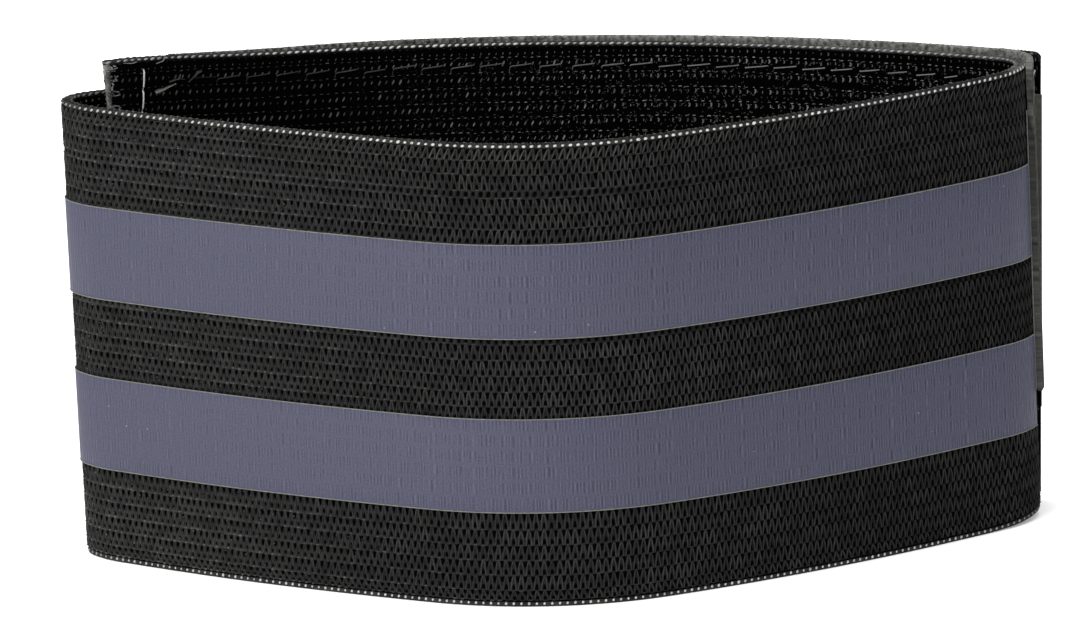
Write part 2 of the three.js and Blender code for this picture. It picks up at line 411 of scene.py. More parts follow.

# Painted light on the loop tape, and sewing threads
TAPE_TOP_LIGHT = ((35, 55), (0.48, 1.0))
TAPE_TOP_CORD_LIGHT = 0.35
TAPE_FACE_LIGHT = 0.29
TAPE_FACE_CORD_LIGHT = 0.12
TAPE_LIGHT_JITTER = 0.2
THREAD_SIDES = 6
SEAM_UP = 47.3
SEAM_START = 11.3
SEAM_PITCH = 3.2
SEAM_RADIUS = 0.07
SEAM_RISE = 0.24
SEAM_HOOK = 0.65
SEAM_HOOK_SPREAD = (0.6, 1.1)
SEAM_UP_JITTER = 0.06
SEAM_SHIFT = ((46, 50, 91), (0, 0.5, -0.6))
SEAM_LENGTH = ((75, 84, 88, 92), (2.4, 2.0, 2.0, 1.1))
SEAM_LIGHT = ((11, 25, 45, 70), (0.1, 0.18, 0.4, 0.75))
SEAM_STITCH = (
    # share of its length, share of its hook, height over the cloth
    (0, -1.0, -0.1),
    (0.0, -0.55, 0.07),
    (0.02, -0.15, 0.10),
    (0.1, 0.0, 0.10),
    (0.25, 0.0, 0.09),
    (0.45, 0.0, 0.08),
    (0.65, 0.0, 0.05),
    (0.85, 0.0, 0.0),
    (1.0, 0.0, -0.08),
)
HEM_SEAM_ENDS = (1, STRAP_WIDTH - 3.5)
HEM_SEAM_PITCH = 2.3
HEM_STITCH = 2.15
HEM_STITCH_POINTS = 9
HEM_THREAD_RADIUS = 0.09
HEM_THREAD_OUT = STRAP_THICKNESS / 2 + 0.08
HEM_THREAD_DIVE = 0.25
HEM_THREAD_FLATNESS = 0.35
# The hem's seam is nearly upright, closer to the fold lower down
HEM_SEAM_ALONG = ((STRAP_WIDTH - 6, STRAP_WIDTH), (2.2, 3.1))

# Meshes, and the map for the exported model's textures
BAKE_ROWS = 7
BAKE_MARGIN = 1
BAKE_INSET = (0.01, 0.04)
SHARP_ANGLE = 50

# Camera, and the studio in metres and watts
CAMERA_DISTANCE = 1200
CAMERA_ELEVATION = 13.87
CAMERA_TARGET = (-1.83, 0, 25.9)
CAMERA_ROLL = 1.645
CAMERA_LENS = 375.2
CAMERA_CLIP = (0.05, 20)
SENSOR = 36
FLOOR_HALF_SIDE = 6.0
TABLE_LIGHT = 0.22
ROOM_LIGHT = 0.65
LAMPS = (
    # name, place, size, power
    ("window_left", (-0.9, -0.9, 0.8), 1.2, 19),
    ("overhead", (0.0, 0.1, 1.3), 0.9, 12),
)
LAMP_AIM = (0, 0, 0.03)


# The strap's course


def between(rows, distances):
    """The rows of a line at these distances travelled along it."""
    return np.stack([np.interp(distances, rows[:, 4], rows[:, k]) for k in range(5)], 1)


def offset(rows, distance):
    """The line a distance to its left. A row is x, y, heading, lift and distance travelled."""
    moved = rows.copy()
    heading = np.radians(rows[:, 2])
    moved[:, 0] -= distance * np.sin(heading)
    moved[:, 1] += distance * np.cos(heading)
    return moved


def walk_route():
    """The strap's first turn as rows of a line, and how far along each named part ends."""
    x, y = START
    heading = START_HEADING
    travelled = 0.0
    rows = [(x, y, heading, 0, travelled)]
    ends = {}
    for name, length, turn in ROUTE:
        steps = math.ceil(length / FINE_STEP)
        half_turn = math.radians(turn / steps / 2)
        chord = length / steps * math.sin(half_turn) / half_turn
        for _ in range(steps):
            way = math.radians(heading) + half_turn
            x += chord * math.cos(way)
            y += chord * math.sin(way)
            heading += turn / steps
            travelled += length / steps
            rows.append((x, y, heading, 0, travelled))
        ends[name] = travelled
    loop = np.array(rows)
    loop[:, 3] = INNER_END_LIFT * np.maximum(0, 1 - loop[:, 4] / ends["inner_back"])
    return loop, ends


def smooth(value, low, high):
    """An eased step from 0 at low to 1 at high."""
    share = np.clip((value - low) / (high - low), 0, 1)
    return share * share * (3 - 2 * share)


def hem_and_fold(loop):
    """The strap's inner end, folded outward onto itself: the hem, then the fold."""
    radius = (STRAP_THICKNESS + FOLD_GAP) / 2
    hem = offset(between(loop, np.arange(HEM_LENGTH, 0, -FINE_STEP)), 2 * radius)
    hem[:, 2] += 180
    hem[:, 4] *= -1
    turned = np.arange(0, 180, FOLD_TURN_STEP)
    centre = offset(loop[:1], radius)
    fold = np.repeat(centre, len(turned), 0)
    fold[:, 2] = START_HEADING + 180 + turned
    return hem, offset(fold, -radius)


def outer_layer(loop, end):
    """The strap's second turn at the back, which follows the first one outside the tapes."""
    plain = STRAP_THICKNESS + TAPE_THICKNESS + 2 * LAYER_GAP
    hook_start = end + OUTER_END_OVERHANG - HOOK_TAPE_LENGTH
    distances = np.arange(SHOULDER_END, end, FINE_STEP)
    layer = between(loop, np.append(distances, end))
    share = smooth(layer[:, 4], hook_start - HOOK_RAMP_LENGTH, hook_start)
    layer = offset(layer, plain + share * (TAPE_THICKNESS + LAYER_GAP))
    way = math.radians(layer[-1, 2])
    past = np.arange(1, OUTER_END_OVERHANG / FINE_STEP + 0.5) * FINE_STEP
    overhang = np.repeat(layer[-1:], len(past), 0)
    overhang[:, 0] += past * math.cos(way)
    overhang[:, 1] += past * math.sin(way)
    overhang[:, 4] += past
    layer = np.concatenate([layer, overhang])
    layer[:, 3] = 0
    return layer


def shoulder_between(corner, arrival):
    """The curve from the end of the first turn to the start of the second, and its length."""
    knots = [corner[:2], None, None, arrival[:2]]
    for index, row, pull in ((1, corner, SHOULDER_PULL), (2, arrival, -SHOULDER_PULL)):
        way = math.radians(row[2])
        knots[index] = row[:2] + pull * np.array([math.cos(way), math.sin(way)])
    share = np.linspace(0, 1, SHOULDER_STEPS)[:, None]
    places = (
        (1 - share) ** 3 * knots[0]
        + 3 * share * (1 - share) ** 2 * knots[1]
        + 3 * share**2 * (1 - share) * knots[2]
        + share**3 * knots[3]
    )
    steps = np.diff(places, axis=0)
    run = np.append(0, np.cumsum(np.linalg.norm(steps, axis=1)))
    ways = np.degrees(np.arctan2(np.gradient(places[:, 1]), np.gradient(places[:, 0])))
    return np.stack([*places.T, ways, 0 * run, corner[4] + run], 1)[1:-1], run[-1]


def strap_line():
    """The strap's middle line, from the hem's raw end to the outer end."""
    loop, ends = walk_route()
    hem, fold = hem_and_fold(loop)
    layer = outer_layer(loop, ends["inner_back"])
    shoulder, shoulder_length = shoulder_between(loop[-1], layer[0])
    layer[:, 4] += loop[-1, 4] + shoulder_length - SHOULDER_END
    rows = np.concatenate([hem, fold, loop, shoulder, layer])
    travelled = rows[:, 4]
    outer_end = travelled[-1]

    def near(place, reach=LEAN_REACH):
        return 1 - smooth(np.abs(travelled - place), 0, reach)

    lean = (
        INNER_END_LEAN * near(0)
        + RIGHT_CORNER_LEAN * near(ends["right_corner"], RIGHT_CORNER_REACH)
        + LEFT_CORNER_LEAN * near(ends["left_run_in"])
        + OUTER_END_LEAN * near(outer_end)
    )
    heading = np.radians(rows[:, 2])
    steps = np.linalg.norm(np.diff(rows[:, :2], axis=0), axis=1)
    along = np.append(0, np.cumsum(steps))
    first = len(hem) + len(fold)
    along -= along[first]
    corner_start = along[-1] - STRAP_END_SETBACK
    corner_raise_at = ends["right_corner"] - RIGHT_CORNER_RAISE_SETBACK
    columns = {
        "x": rows[:, 0],
        "y": rows[:, 1],
        "left_x": -np.sin(heading),
        "left_y": np.cos(heading),
        "lift": rows[:, 3] + HEM_RAISE * (1 - smooth(np.abs(along), 0, HEM_RAISE_REACH)),
        "lean": lean,
        "pull": 1 - smooth(np.abs(along), 0, HEM_PULL_REACH),
        "left": LEFT_CORNER_PULL * near(ends["left_run_in"]),
        "end": 1 - smooth(along[-1] - along, 0, END_REACH),
        "corner": np.clip(1 - (corner_start - along) / END_CORNER_RADIUS, 0, 1),
        "fold": 1 - smooth(along - FOLD_MIDDLE, 0, FOLD_DROOP_REACH),
        "hem": smooth(-along, *HEM_DROOP_RUN),
        "raise": RIGHT_CORNER_RAISE * near(corner_raise_at, RIGHT_CORNER_RAISE_REACH),
    }
    ends["outer_end"] = outer_end
    ends["hook_tape_start"] = outer_end - HOOK_TAPE_LENGTH
    loop_travelled, loop_along = travelled[first:], along[first:]
    places = {name: float(np.interp(end, loop_travelled, loop_along)) for name, end in ends.items()}
    places["raw_end"] = float(along[0])
    places["strap_end"] = float(along[-1]) - STRAP_END_SETBACK
    places["loop_tape_start"] = HEM_LENGTH + 2 * LAYER_GAP
    return along, columns, places


STRAP_ALONG, STRAP_COLUMNS, PLACES = strap_line()


def on_strap(along, across, up, lift_share=1.0):
    """Points in the part's frame, in metres, for places on the strap."""
    along, across, up = np.broadcast_arrays(along, across, up)
    at = {name: np.interp(along, STRAP_ALONG, column) for name, column in STRAP_COLUMNS.items()}

    def near_top(reach):
        return smooth(up, STRAP_WIDTH - reach, STRAP_WIDTH)

    size = np.hypot(at["left_x"], at["left_y"])
    x = at["x"] + across * at["left_x"] / size + at["lean"] * (2 * up / STRAP_WIDTH - 1)
    pull = HEM_PULL + near_top(PULL_TOP_REACH) * (HEM_PULL_AT_TOP - HEM_PULL)
    x = x + at["pull"] * pull + at["left"]
    y = at["y"] + across * at["left_y"] / size
    z = up + at["lift"] * lift_share
    z = z - at["end"] * END_TOP_DROOP * near_top(END_TOP_REACH)
    rounded = END_CORNER_RADIUS * (1 - np.sqrt(1 - at["corner"] ** 2))
    lower = rounded + at["fold"] * FOLD_TOP_DROOP + at["hem"] * (HEM_TOP_DROOP - FOLD_TOP_DROOP)
    z = z - lower * near_top(CORNER_TOP_REACH)
    raised = at["end"] * END_BOTTOM_RAISE + at["raise"]
    z = z + raised * (1 - smooth(up, 0, BOTTOM_RAISE_REACH))
    return np.stack([x, y, z], -1) * MM


# Meshes


def bake_places(flat, faces):
    """A second UV map that folds the long strap into a square, for the exported model's textures."""
    low = PLACES["raw_end"]
    row_length = (PLACES["outer_end"] - low + 2 * BAKE_MARGIN) / BAKE_ROWS
    corners = flat[faces]
    row = np.floor((corners[..., 0].mean(1) - low + BAKE_MARGIN) / row_length)[:, None]
    u = (corners[..., 0] - low + BAKE_MARGIN - row * row_length) / row_length
    aside, below = BAKE_INSET
    v = row + below + (1 - 2 * below) * corners[..., 1] / (STRAP_WIDTH + 2 * BAKE_MARGIN)
    return np.stack([aside + (1 - 2 * aside) * u, v / BAKE_ROWS], -1)


def make_piece(name, points, faces, flat, material, tone_and_painted_light=None):
    """A mesh from quads or triangles, with its places on the strap as a UV map in millimetres.
    Its tone_and_painted_light gives each point its random tone and its painted light and shade."""
    mesh = bpy.data.meshes.new(name)
    sides = faces.shape[1]
    mesh.vertices.add(len(points))
    mesh.vertices.foreach_set("co", points.astype(np.float32).ravel())
    mesh.loops.add(faces.size)
    mesh.loops.foreach_set("vertex_index", faces.astype(np.int32).ravel())
    mesh.polygons.add(len(faces))
    mesh.polygons.foreach_set("loop_start", np.arange(len(faces), dtype=np.int32) * sides)
    mesh.polygons.foreach_set("loop_total", np.full(len(faces), sides, np.int32))
    mesh.update(calc_edges=True)
    mesh.validate()
    for title, places in (("Strap", flat[faces]), ("OFBake", bake_places(flat, faces))):
        layer = mesh.uv_layers.new(name=title)
        layer.uv.foreach_set("vector", places.astype(np.float32).ravel())
    if tone_and_painted_light is not None:
        attribute = mesh.attributes.new("tone_and_painted_light", "FLOAT", "POINT")
        attribute.data.foreach_set("value", tone_and_painted_light.astype(np.float32).ravel())
    mesh.polygons.foreach_set("use_smooth", np.ones(len(faces), bool))
    mesh.set_sharp_from_angle(angle=math.radians(SHARP_ANGLE))
    mesh.materials.append(material)
    piece = bpy.data.objects.new(name, mesh)
    bpy.context.scene.collection.objects.link(piece)
    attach(piece, "root")
    return piece


def stations(start, end, step):
    """Distances along the strap, closer together at the hem's fold and at the outer end."""
    coarse = np.linspace(start, end, math.ceil((end - start) / step) + 1)
    at_end = PLACES["strap_end"] - np.arange(1, END_FINE_STEPS + 1) * END_FINE_STEP
    fine = np.append(np.arange(-FOLD_LENGTH, 0, FOLD_FINE_STEP), at_end)
    fine = fine[(fine > start) & (fine < end)]
    return np.unique(np.round(np.concatenate([coarse, fine]), 4))


def sweep(along, section, lift_share=1.0, wobble=None):
    """A closed solid: a section of (across, up) corners swept along the strap."""
    section = np.array(section, float)
    count = len(section)
    across = np.repeat(section[None, :, 0], len(along), 0)
    up = np.repeat(section[None, :, 1], len(along), 0)
    if wobble is not None:
        across = across + wobble[..., 0]
        up = up + wobble[..., 1]
    places = np.repeat(along[:, None], count, 1)
    points = on_strap(places, across, up, lift_share).reshape(-1, 3)
    flat = np.stack([places, up], -1).reshape(-1, 2)
    row = np.arange(len(along) - 1)[:, None] * count
    side = np.arange(count)[None, :]
    after = (side + 1) % count
    faces = np.stack([row + side, row + after, row + after + count, row + side + count], -1)
    last = (len(along) - 1) * count
    caps = []
    for step in range(count // 2 - 1):
        a, b, c, d = step, step + 1, count - 2 - step, count - 1 - step
        caps.append((d, c, b, a))
        caps.append((last + a, last + b, last + c, last + d))
    return points, np.concatenate([faces.reshape(-1, 4), np.array(caps)]), flat


def capsule_section(across, thickness, bottom, top, radius, steps=4, levels=()):
    """A flat band's section with rounded edges, starting beside its lower edge's middle. Levels
    are heights at which its flat sides have corners too, where the band isn't straight."""
    half = thickness / 2
    corners = []
    for centre, angle in (
        ((across + half - radius, bottom + radius), -90),
        ((across + half - radius, top - radius), 0),
        ((across - half + radius, top - radius), 90),
        ((across - half + radius, bottom + radius), 180),
    ):
        for step in range(steps):
            way = math.radians(angle + 90 * step / (steps - 1))
            corners.append((centre[0] + radius * math.cos(way), centre[1] + radius * math.sin(way)))
        if angle == -90:
            corners += [(across + half, level) for level in levels]
        if angle == 90:
            corners += [(across - half, level) for level in reversed(levels)]
    return corners


def ribbons(line, half_width, ridge, side, sides_at):
    """Yarns as ribbons with a raised middle. line is (yarns, points, along and up), and side is
    how light their sides are beside the ridge, as painted shade."""
    side_shade = side + 0 * ridge
    way = np.gradient(line, axis=1)
    way /= np.maximum(np.linalg.norm(way, axis=2, keepdims=True), 1e-9)
    aside = np.stack([-way[..., 1], way[..., 0]], -1) * half_width[..., None]
    flat = np.stack([line + aside, line, line - aside], 2)
    foot = sides_at + 0 * ridge
    depth = np.stack([foot, ridge, foot], 2)
    # Painted light and shade: full at the ridge, the side share at both edges
    tone_and_painted_light = np.stack([side_shade, 1 + 0 * ridge, side_shade], 2)
    yarns, points = ridge.shape
    start = (np.arange(yarns)[:, None] * points + np.arange(points - 1)) * 3
    start = start.reshape(-1, 1)
    quads = np.concatenate([start + (0, 1, 4, 3), start + (1, 2, 5, 4)])
    return flat.reshape(-1, 2), depth.reshape(-1), tone_and_painted_light.reshape(-1), quads


def even_yarns(x, y, shine, half_width, ridge, side):
    """Yarns for join_ribbons that are as wide and high at one point as at the next."""
    return np.stack([x, y], -1), half_width + 0 * x, ridge + 0 * x, shine + 0 * x, side + 0 * x


def join_ribbons(parts, sides_at=YARN_FOOT):
    """One set of ribbons from several: the line, half width, ridge, shine and side of each."""
    used = 0
    joined = [[], [], [], []]
    for line, width, ridge, shine, side in parts:
        flat, depth, tone_and_painted_light, faces = ribbons(line, width, ridge, side, sides_at)
        shades = np.repeat(shine.reshape(-1), 3) * tone_and_painted_light
        for kept, new in zip(joined, (flat, depth, shades, faces + used)):
            kept.append(new)
        used += len(flat)
    return [np.concatenate(kept) for kept in joined]


def lay_on(flat, depth, face):
    """Puts flat work on the strap's outer (1) or inner (-1) face."""
    return on_strap(flat[:, 0], face * (GROUND_FACE + depth), flat[:, 1])


def tubes(lines, radius):
    """Round threads through lines of points, (threads, points, 3), in metres."""
    way = np.gradient(lines, axis=1)
    way /= np.maximum(np.linalg.norm(way, axis=2, keepdims=True), 1e-12)
    upward = np.where(np.abs(way[..., 2:]) > 0.9, [[[1.0, 0, 0]]], [[[0, 0, 1.0]]])
    first = np.cross(way, upward)
    first /= np.linalg.norm(first, axis=2, keepdims=True)
    second = np.cross(way, first)
    turn = np.arange(THREAD_SIDES) * 2 * math.pi / THREAD_SIDES
    ring = first[:, :, None] * np.cos(turn)[:, None] + second[:, :, None] * np.sin(turn)[:, None]
    points = lines[:, :, None] + radius * MM * ring
    threads, count = lines.shape[:2]
    start = (np.arange(threads)[:, None] * count + np.arange(count - 1)) * THREAD_SIDES
    start = start.reshape(-1, 1)
    quads = []
    for side in range(THREAD_SIDES):
        after = (side + 1) % THREAD_SIDES
        quads.append(start + (side, side + THREAD_SIDES, after + THREAD_SIDES, after))
    return points.reshape(-1, 3), np.concatenate(quads)


def make_threads(name, lines, along, up, radius, material, light=None):
    """A piece of round threads; along, up and light are (threads, points)."""
    points, faces = tubes(lines, radius)
    flat = np.repeat(np.stack([along, up], -1).reshape(-1, 2), THREAD_SIDES, 0)
    tone_and_painted_light = None if light is None else np.repeat(light.reshape(-1), THREAD_SIDES)
    return make_piece(name, points, faces, flat, material, tone_and_painted_light)


# Materials


def linear(colour):
    """sRGB hex to the linear values that the shaders want."""
    parts = [int(colour[k : k + 2], 16) / 255 for k in (0, 2, 4)]
    return [x / 12.92 if x <= 0.04045 else ((x + 0.055) / 1.055) ** 2.4 for x in parts] + [1]


def add_node(material, kind, settings=(), **inputs):
    """Adds a node with its settings. An input goes by its name, or by its place as i0, i1 and so
    on. It is a value, an output to link, or a node whose first output is linked."""
    node = material.node_tree.nodes.new("ShaderNode" + kind)
    for name, value in dict(settings).items():
        setattr(node, name, value)
    for name, value in inputs.items():
        key = int(name[1:]) if name[0] == "i" and name[1:].isdigit() else name.replace("_", " ")
        socket = node.inputs[key]
        if isinstance(value, bpy.types.Node):
            value = value.outputs[0]
        if isinstance(value, bpy.types.NodeSocket):
            material.node_tree.links.new(value, socket)
        else:
            socket.default_value = value
    return node


def new_material(name, **surface):
    """A material with one principled shader. Returns it and the shader."""
    material = bpy.data.materials.new(name)
    material.use_nodes = True
    shader = material.node_tree.nodes["Principled BSDF"]
    for key, value in surface.items():
        shader.inputs[key.replace("_", " ")].default_value = value
    return material, shader


def finish_surface(material, shader, colour, height, strength, depth):
    """Gives the shader its colour, and a fine relief as deep as this in metres."""
    bump = add_node(material, "Bump", Strength=strength, Distance=depth, Height=height)
    for node, key in ((colour, "Base Color"), (bump, "Normal")):
        material.node_tree.links.new(node.outputs[0], shader.inputs[key])
    return material


def knitted_yarn(name, dark, light, edge, patches=(0.35, 0.9)):
    """Textured polyester yarn, knitted: matt, with painted light where its fibres catch it and painted
    shade at its sides.
    Patches is how many light and dark patches there are per millimetre along and up."""
    material, shader = new_material(name, Roughness=0.85, IOR=1.45, Specular_IOR_Level=0.1)
    places = add_node(material, "UVMap", {"uv_map": "Strap"})
    # Yarns differ from one length to the next, over about 3 mm along and one row up
    long_wise = add_node(material, "Mapping", Vector=places, Scale=(*patches, 1))
    patch = add_node(material, "TexNoise", Vector=long_wise, Scale=1.0, Detail=3.0)
    spread = add_node(material, "MapRange", i0=patch, From_Min=0.3, From_Max=0.7)
    tone = add_node(material, "MixRGB", i0=spread, i1=linear(dark), i2=linear(light))
    # Painted light and shade: the attribute mixes the tone towards the near-black edge colour, as
    # painted shade on the yarns' sides and in dim places
    tone_and_painted_light = add_node(material, "Attribute", {"attribute_name": "tone_and_painted_light"}).outputs["Fac"]
    colour = add_node(material, "MixRGB", i0=tone_and_painted_light, i1=linear(edge), i2=tone)
    # Single fibres of about 0.05 mm are drawn as 0.1 mm grain so that they show
    fibre = add_node(material, "TexNoise", Vector=places, Scale=9.0, Detail=2.0)
    return finish_surface(material, shader, colour, fibre, 0.4, 0.00005)


def elastic_ground():
    """Rubber-cored ground yarns deep between the stitches: almost no light comes back."""
    material, shader = new_material(
        "elastic_ground_yarn_black", Roughness=0.95, IOR=1.45, Specular_IOR_Level=0.0
    )
    places = add_node(material, "UVMap", {"uv_map": "Strap"})
    cords = add_node(material, "TexNoise", Vector=places, Scale=2.5, Detail=2.0)
    # Its near-black is partly the yarn's own black and partly painted shade for the deep holes
    colour = add_node(material, "MixRGB", i0=cords, i1=linear("010101"), i2=linear("070707"))
    material.node_tree.links.new(colour.outputs[0], shader.inputs["Base Color"])
    return material


def film_marks(material, places, along, up):
    """Short upright marks from -1 to 1, where the legs of the knit press through the film."""
    # Marks are one leg of a stitch wide, 0.4 mm, and as high as two thirds of a knitted row
    row = add_node(material, "Math", {"operation": "DIVIDE"}, i0=up, i1=FILM_MARK_ROW)
    number = add_node(material, "Math", {"operation": "FLOOR"}, i0=row)
    shift = add_node(material, "TexWhiteNoise", {"noise_dimensions": "1D"}, W=number)
    # They wander by up to two of them, since the knit under the film isn't stretched evenly
    along_only = add_node(material, "Mapping", Vector=places, Scale=(1, 0, 0))
    uneven = add_node(material, "TexNoise", Vector=along_only, Scale=0.8, Detail=1.0)
    multiply_add = {"operation": "MULTIPLY_ADD"}
    shift = add_node(material, "Math", multiply_add, i0=uneven, i1=2.5, i2=shift)
    legs = add_node(material, "Math", multiply_add, i0=along, i1=2 / STITCH, i2=shift)
    turns = add_node(material, "Math", {"operation": "MULTIPLY"}, i0=legs, i1=2 * math.pi)
    wave = add_node(material, "Math", {"operation": "SINE"}, i0=turns)
    height = add_node(material, "Math", {"operation": "FRACT"}, i0=row)
    centred = add_node(material, "Math", {"operation": "PINGPONG"}, i0=height, i1=0.5)
    window = add_node(material, "MapRange", i0=centred, From_Min=0.08, From_Max=0.22, To_Min=0.1)
    # They are pressed in more deeply in some patches, and less towards the left
    patches = add_node(material, "Mapping", Vector=places, Scale=(1.8, 0.5, 1))
    patchy = add_node(material, "TexNoise", Vector=patches, Scale=1.0, Detail=2.0)
    strength = add_node(material, "MapRange", i0=patchy, From_Min=0.36, From_Max=0.64)
    start, end = FILM_SMOOTHER_RUN
    smoother = add_node(
        material, "MapRange", i0=along, From_Min=start, From_Max=end, To_Min=1.0, To_Max=0.45
    )
    shown = window
    for factor in (strength, smoother, wave):
        shown = add_node(material, "Math", {"operation": "MULTIPLY"}, i0=factor, i1=shown)
    return shown


def reflective_film():
    """Heat-pressed film of glass beads: a flat blue-grey with a fine grain, through which the
    knit's legs show as short upright marks."""
    material, shader = new_material(
        "glass_bead_film_pressed", Roughness=0.6, IOR=1.5, Specular_IOR_Level=0.3
    )
    places = add_node(material, "UVMap", {"uv_map": "Strap"})
    parts = add_node(material, "SeparateXYZ", Vector=places)
    along, up = parts.outputs["X"], parts.outputs["Y"]
    relief = film_marks(material, places, along, up)
    # The marks are painted lighter and darker with their relief, as painted light and shade
    shade = add_node(material, "MapRange", i0=relief, From_Min=-1.0)
    tone = add_node(material, "MixRGB", i0=shade, i1=linear("212131"), i2=linear("505064"))
    # Glass beads of 0.05 mm are drawn as 0.15 mm grain so that they show
    grain = add_node(material, "TexNoise", Vector=places, Scale=6.0, Detail=2.0)
    grain = add_node(material, "MapRange", i0=grain, From_Min=0.3, From_Max=0.7)
    grained = add_node(material, "MixRGB", {"blend_type": "OVERLAY"}, i0=0.26, i1=tone, i2=grain)
    # Towards the closure, on the right, the film is darker and a little bluer, as painted shade
    start, end = FILM_PAINTED_SHADE_RUN
    painted_shade = add_node(material, "MapRange", i0=along, From_Min=start, From_Max=end)
    shaded_film = add_node(
        material, "MixRGB", {"blend_type": "MULTIPLY"}, i0=painted_shade, i1=grained,
        i2=(0.835, 0.86, 0.88, 1),
    )
    # Sparse pale specks of dust caught in the film
    speck = add_node(material, "TexVoronoi", Vector=places, Scale=0.28)
    small = add_node(material, "Math", {"operation": "LESS_THAN"}, i0=speck, i1=0.025)
    specked = add_node(material, "MixRGB", i0=small, i1=shaded_film, i2=linear("74747e"))
    return finish_surface(material, shader, specked, relief, 0.5, 0.00012)


def plain_cloth(name, dark, light, scale, roughness, sheen, grain_depth):
    """Glue, moulded nylon or thread with a fine uneven surface: scale is its grains per
    millimetre, and its hollows are darkened with painted shade."""
    material, shader = new_material(
        name, Roughness=roughness, IOR=1.5, Sheen_Weight=sheen, Specular_IOR_Level=0.3
    )
    places = add_node(material, "UVMap", {"uv_map": "Strap"})
    grain = add_node(material, "TexNoise", Vector=places, Scale=scale, Detail=3.0)
    spread = add_node(material, "MapRange", i0=grain, From_Min=0.3, From_Max=0.7)
    # The grain also darkens the hollows, as painted shade
    colour = add_node(material, "MixRGB", i0=spread, i1=linear(dark), i2=linear(light))
    return finish_surface(material, shader, colour, grain, 0.6, grain_depth * MM)


def fuzzy_loops():
    """Loops of pale polyester along the edges, their paleness partly a painted highlight: pale
    where they face out, and greyer towards their sides with painted shade."""
    material, shader = new_material(
        "edge_loops_pale_polyester_painted_highlight", Roughness=0.5, IOR=1.5, Specular_IOR_Level=0.3
    )
    places = add_node(material, "UVMap", {"uv_map": "Strap"})
    # Painted shade: the loops grow darker towards their sides as they turn from the view
    turned = add_node(material, "LayerWeight", Blend=0.35).outputs["Facing"]
    grain = add_node(material, "TexNoise", Vector=places, Scale=3.0, Detail=2.0)
    # The pale tone is partly the yarn's own and partly a painted highlight
    pale = add_node(material, "MixRGB", i0=grain, i1=linear("a4a4a2"), i2=linear("c8c8c6"))
    side = add_node(material, "MapRange", i0=turned, From_Min=0.05, From_Max=0.75)
    faced = add_node(material, "MixRGB", i0=side, i1=pale, i2=linear("343433"))
    # Where an edge lies in the strap's own shade its loops are darkened with painted shade
    tone_and_painted_light = add_node(material, "Attribute", {"attribute_name": "tone_and_painted_light"}).outputs["Fac"]
    colour = add_node(material, "MixRGB", i0=tone_and_painted_light, i1=linear("050505"), i2=faced)
    return finish_surface(material, shader, colour, grain, 0.4, 0.00002)


# Colours are dark, light, and for knitted yarn the painted shade at its edges. After them plain cloths
# have grains per millimetre, roughness, sheen and the depth of a grain.
GROUND = elastic_ground()
OUTER_YARN = knitted_yarn("polyester_yarn_knitted_outside", "424241", "5a5a59", "030303")
INNER_YARN = knitted_yarn("polyester_yarn_knitted_inside", "626261", "969694", "020202")
FILM = reflective_film()
EDGE_LOOP = fuzzy_loops()
EDGE_CORD = knitted_yarn("edge_cord_polyester", "3a3a39", "5c5c5a", "040404")
FILM_EDGE = plain_cloth("film_glue_cut_edge", "545653", "6c6e6a", 2.0, 0.6, 0.0, 0.02)
LOOP_PILE = knitted_yarn("loop_tape_brushed_nylon", "3c3c39", "7e7e7b", "0c0c0c", (2.2, 1.8))
HOOK_NYLON = plain_cloth("hook_tape_moulded_nylon", "3c3c39", "565651", 1.2, 0.55, 0.05, 0.06)
SEAM_THREAD = knitted_yarn("seam_thread_polyester", "68686a", "8a8a8c", "030303")
HEM_THREAD = plain_cloth("hem_thread_polyester_pale", "a8a8a6", "c6c6c4", 4.0, 0.5, 0.1, 0.02)
LINT = knitted_yarn("lint_cotton", "6a6a68", "86867f", "020202")


# Strap

random = np.random.default_rng(SEED)


def make_ground():
    """The elastic under the knit: a plain dark band that shows between the stitches."""
    section = capsule_section(
        0, 2 * GROUND_FACE, GROUND_INSET, STRAP_WIDTH - GROUND_INSET, GROUND_FACE, levels=BENT_LEVELS
    )
    along = stations(PLACES["raw_end"], PLACES["strap_end"], step=1.0)
    points, faces, flat = sweep(along, section)
    return make_piece("elastic_strap", points, faces, flat, GROUND)


def add_to_strap(name, points, faces, flat, material, tone_and_painted_light):
    """A piece of the elastic's own yarns."""
    piece = make_piece(name, points, faces, flat, material, tone_and_painted_light)


def loose_fibres(kind, count, along, up):
    """Short fibres of three points that lie every way, as yarns for join_ribbons."""
    reach, yarn, spread, fade = FIBRES[kind]
    ways = random.uniform(0, math.pi, (count, 1))
    x = random.uniform(*along, (count, 1)) + reach * np.cos(ways) * [1, 0, -1]
    y = random.uniform(*up, (count, 1)) + reach * np.sin(ways) * [1, 0, -1]
    shine = random.uniform(*spread, (count, 1))
    if fade:
        shine = shine * smooth(x, *fade)
    return even_yarns(x, y, shine, *yarn)


def knit_rows():
    """The knit's rows of holes from the strap's lower edge up: lower limit, upper limit, kind.
    A knitted row is a row of small holes inside its arches, and above it one of large holes
    between them. A low row has round holes only."""
    top = TOP_ROW[1]
    rows = []
    for height, count in ((top - TOP_ROW[0], 1), *ROWS_FROM_TOP, (top, 1)):
        for _ in range(count):
            bottom = max(top - height, LOWEST_ROW)
            if top - bottom < SLIGHTEST_ROW:
                continue
            if top - bottom < LOWEST_KNITTED_ROW:
                rows.append((bottom, top, "round"))
            else:
                waist = bottom + LOWER_HOLE_SHARE * (top - bottom)
                rows.append((waist, top, "large"))
                rows.append((bottom, waist, "small"))
            top = bottom
    return rows[::-1]


def knit_light(part, along):
    return np.interp(along, KNIT_STOPS, KNIT_LIGHT[part])


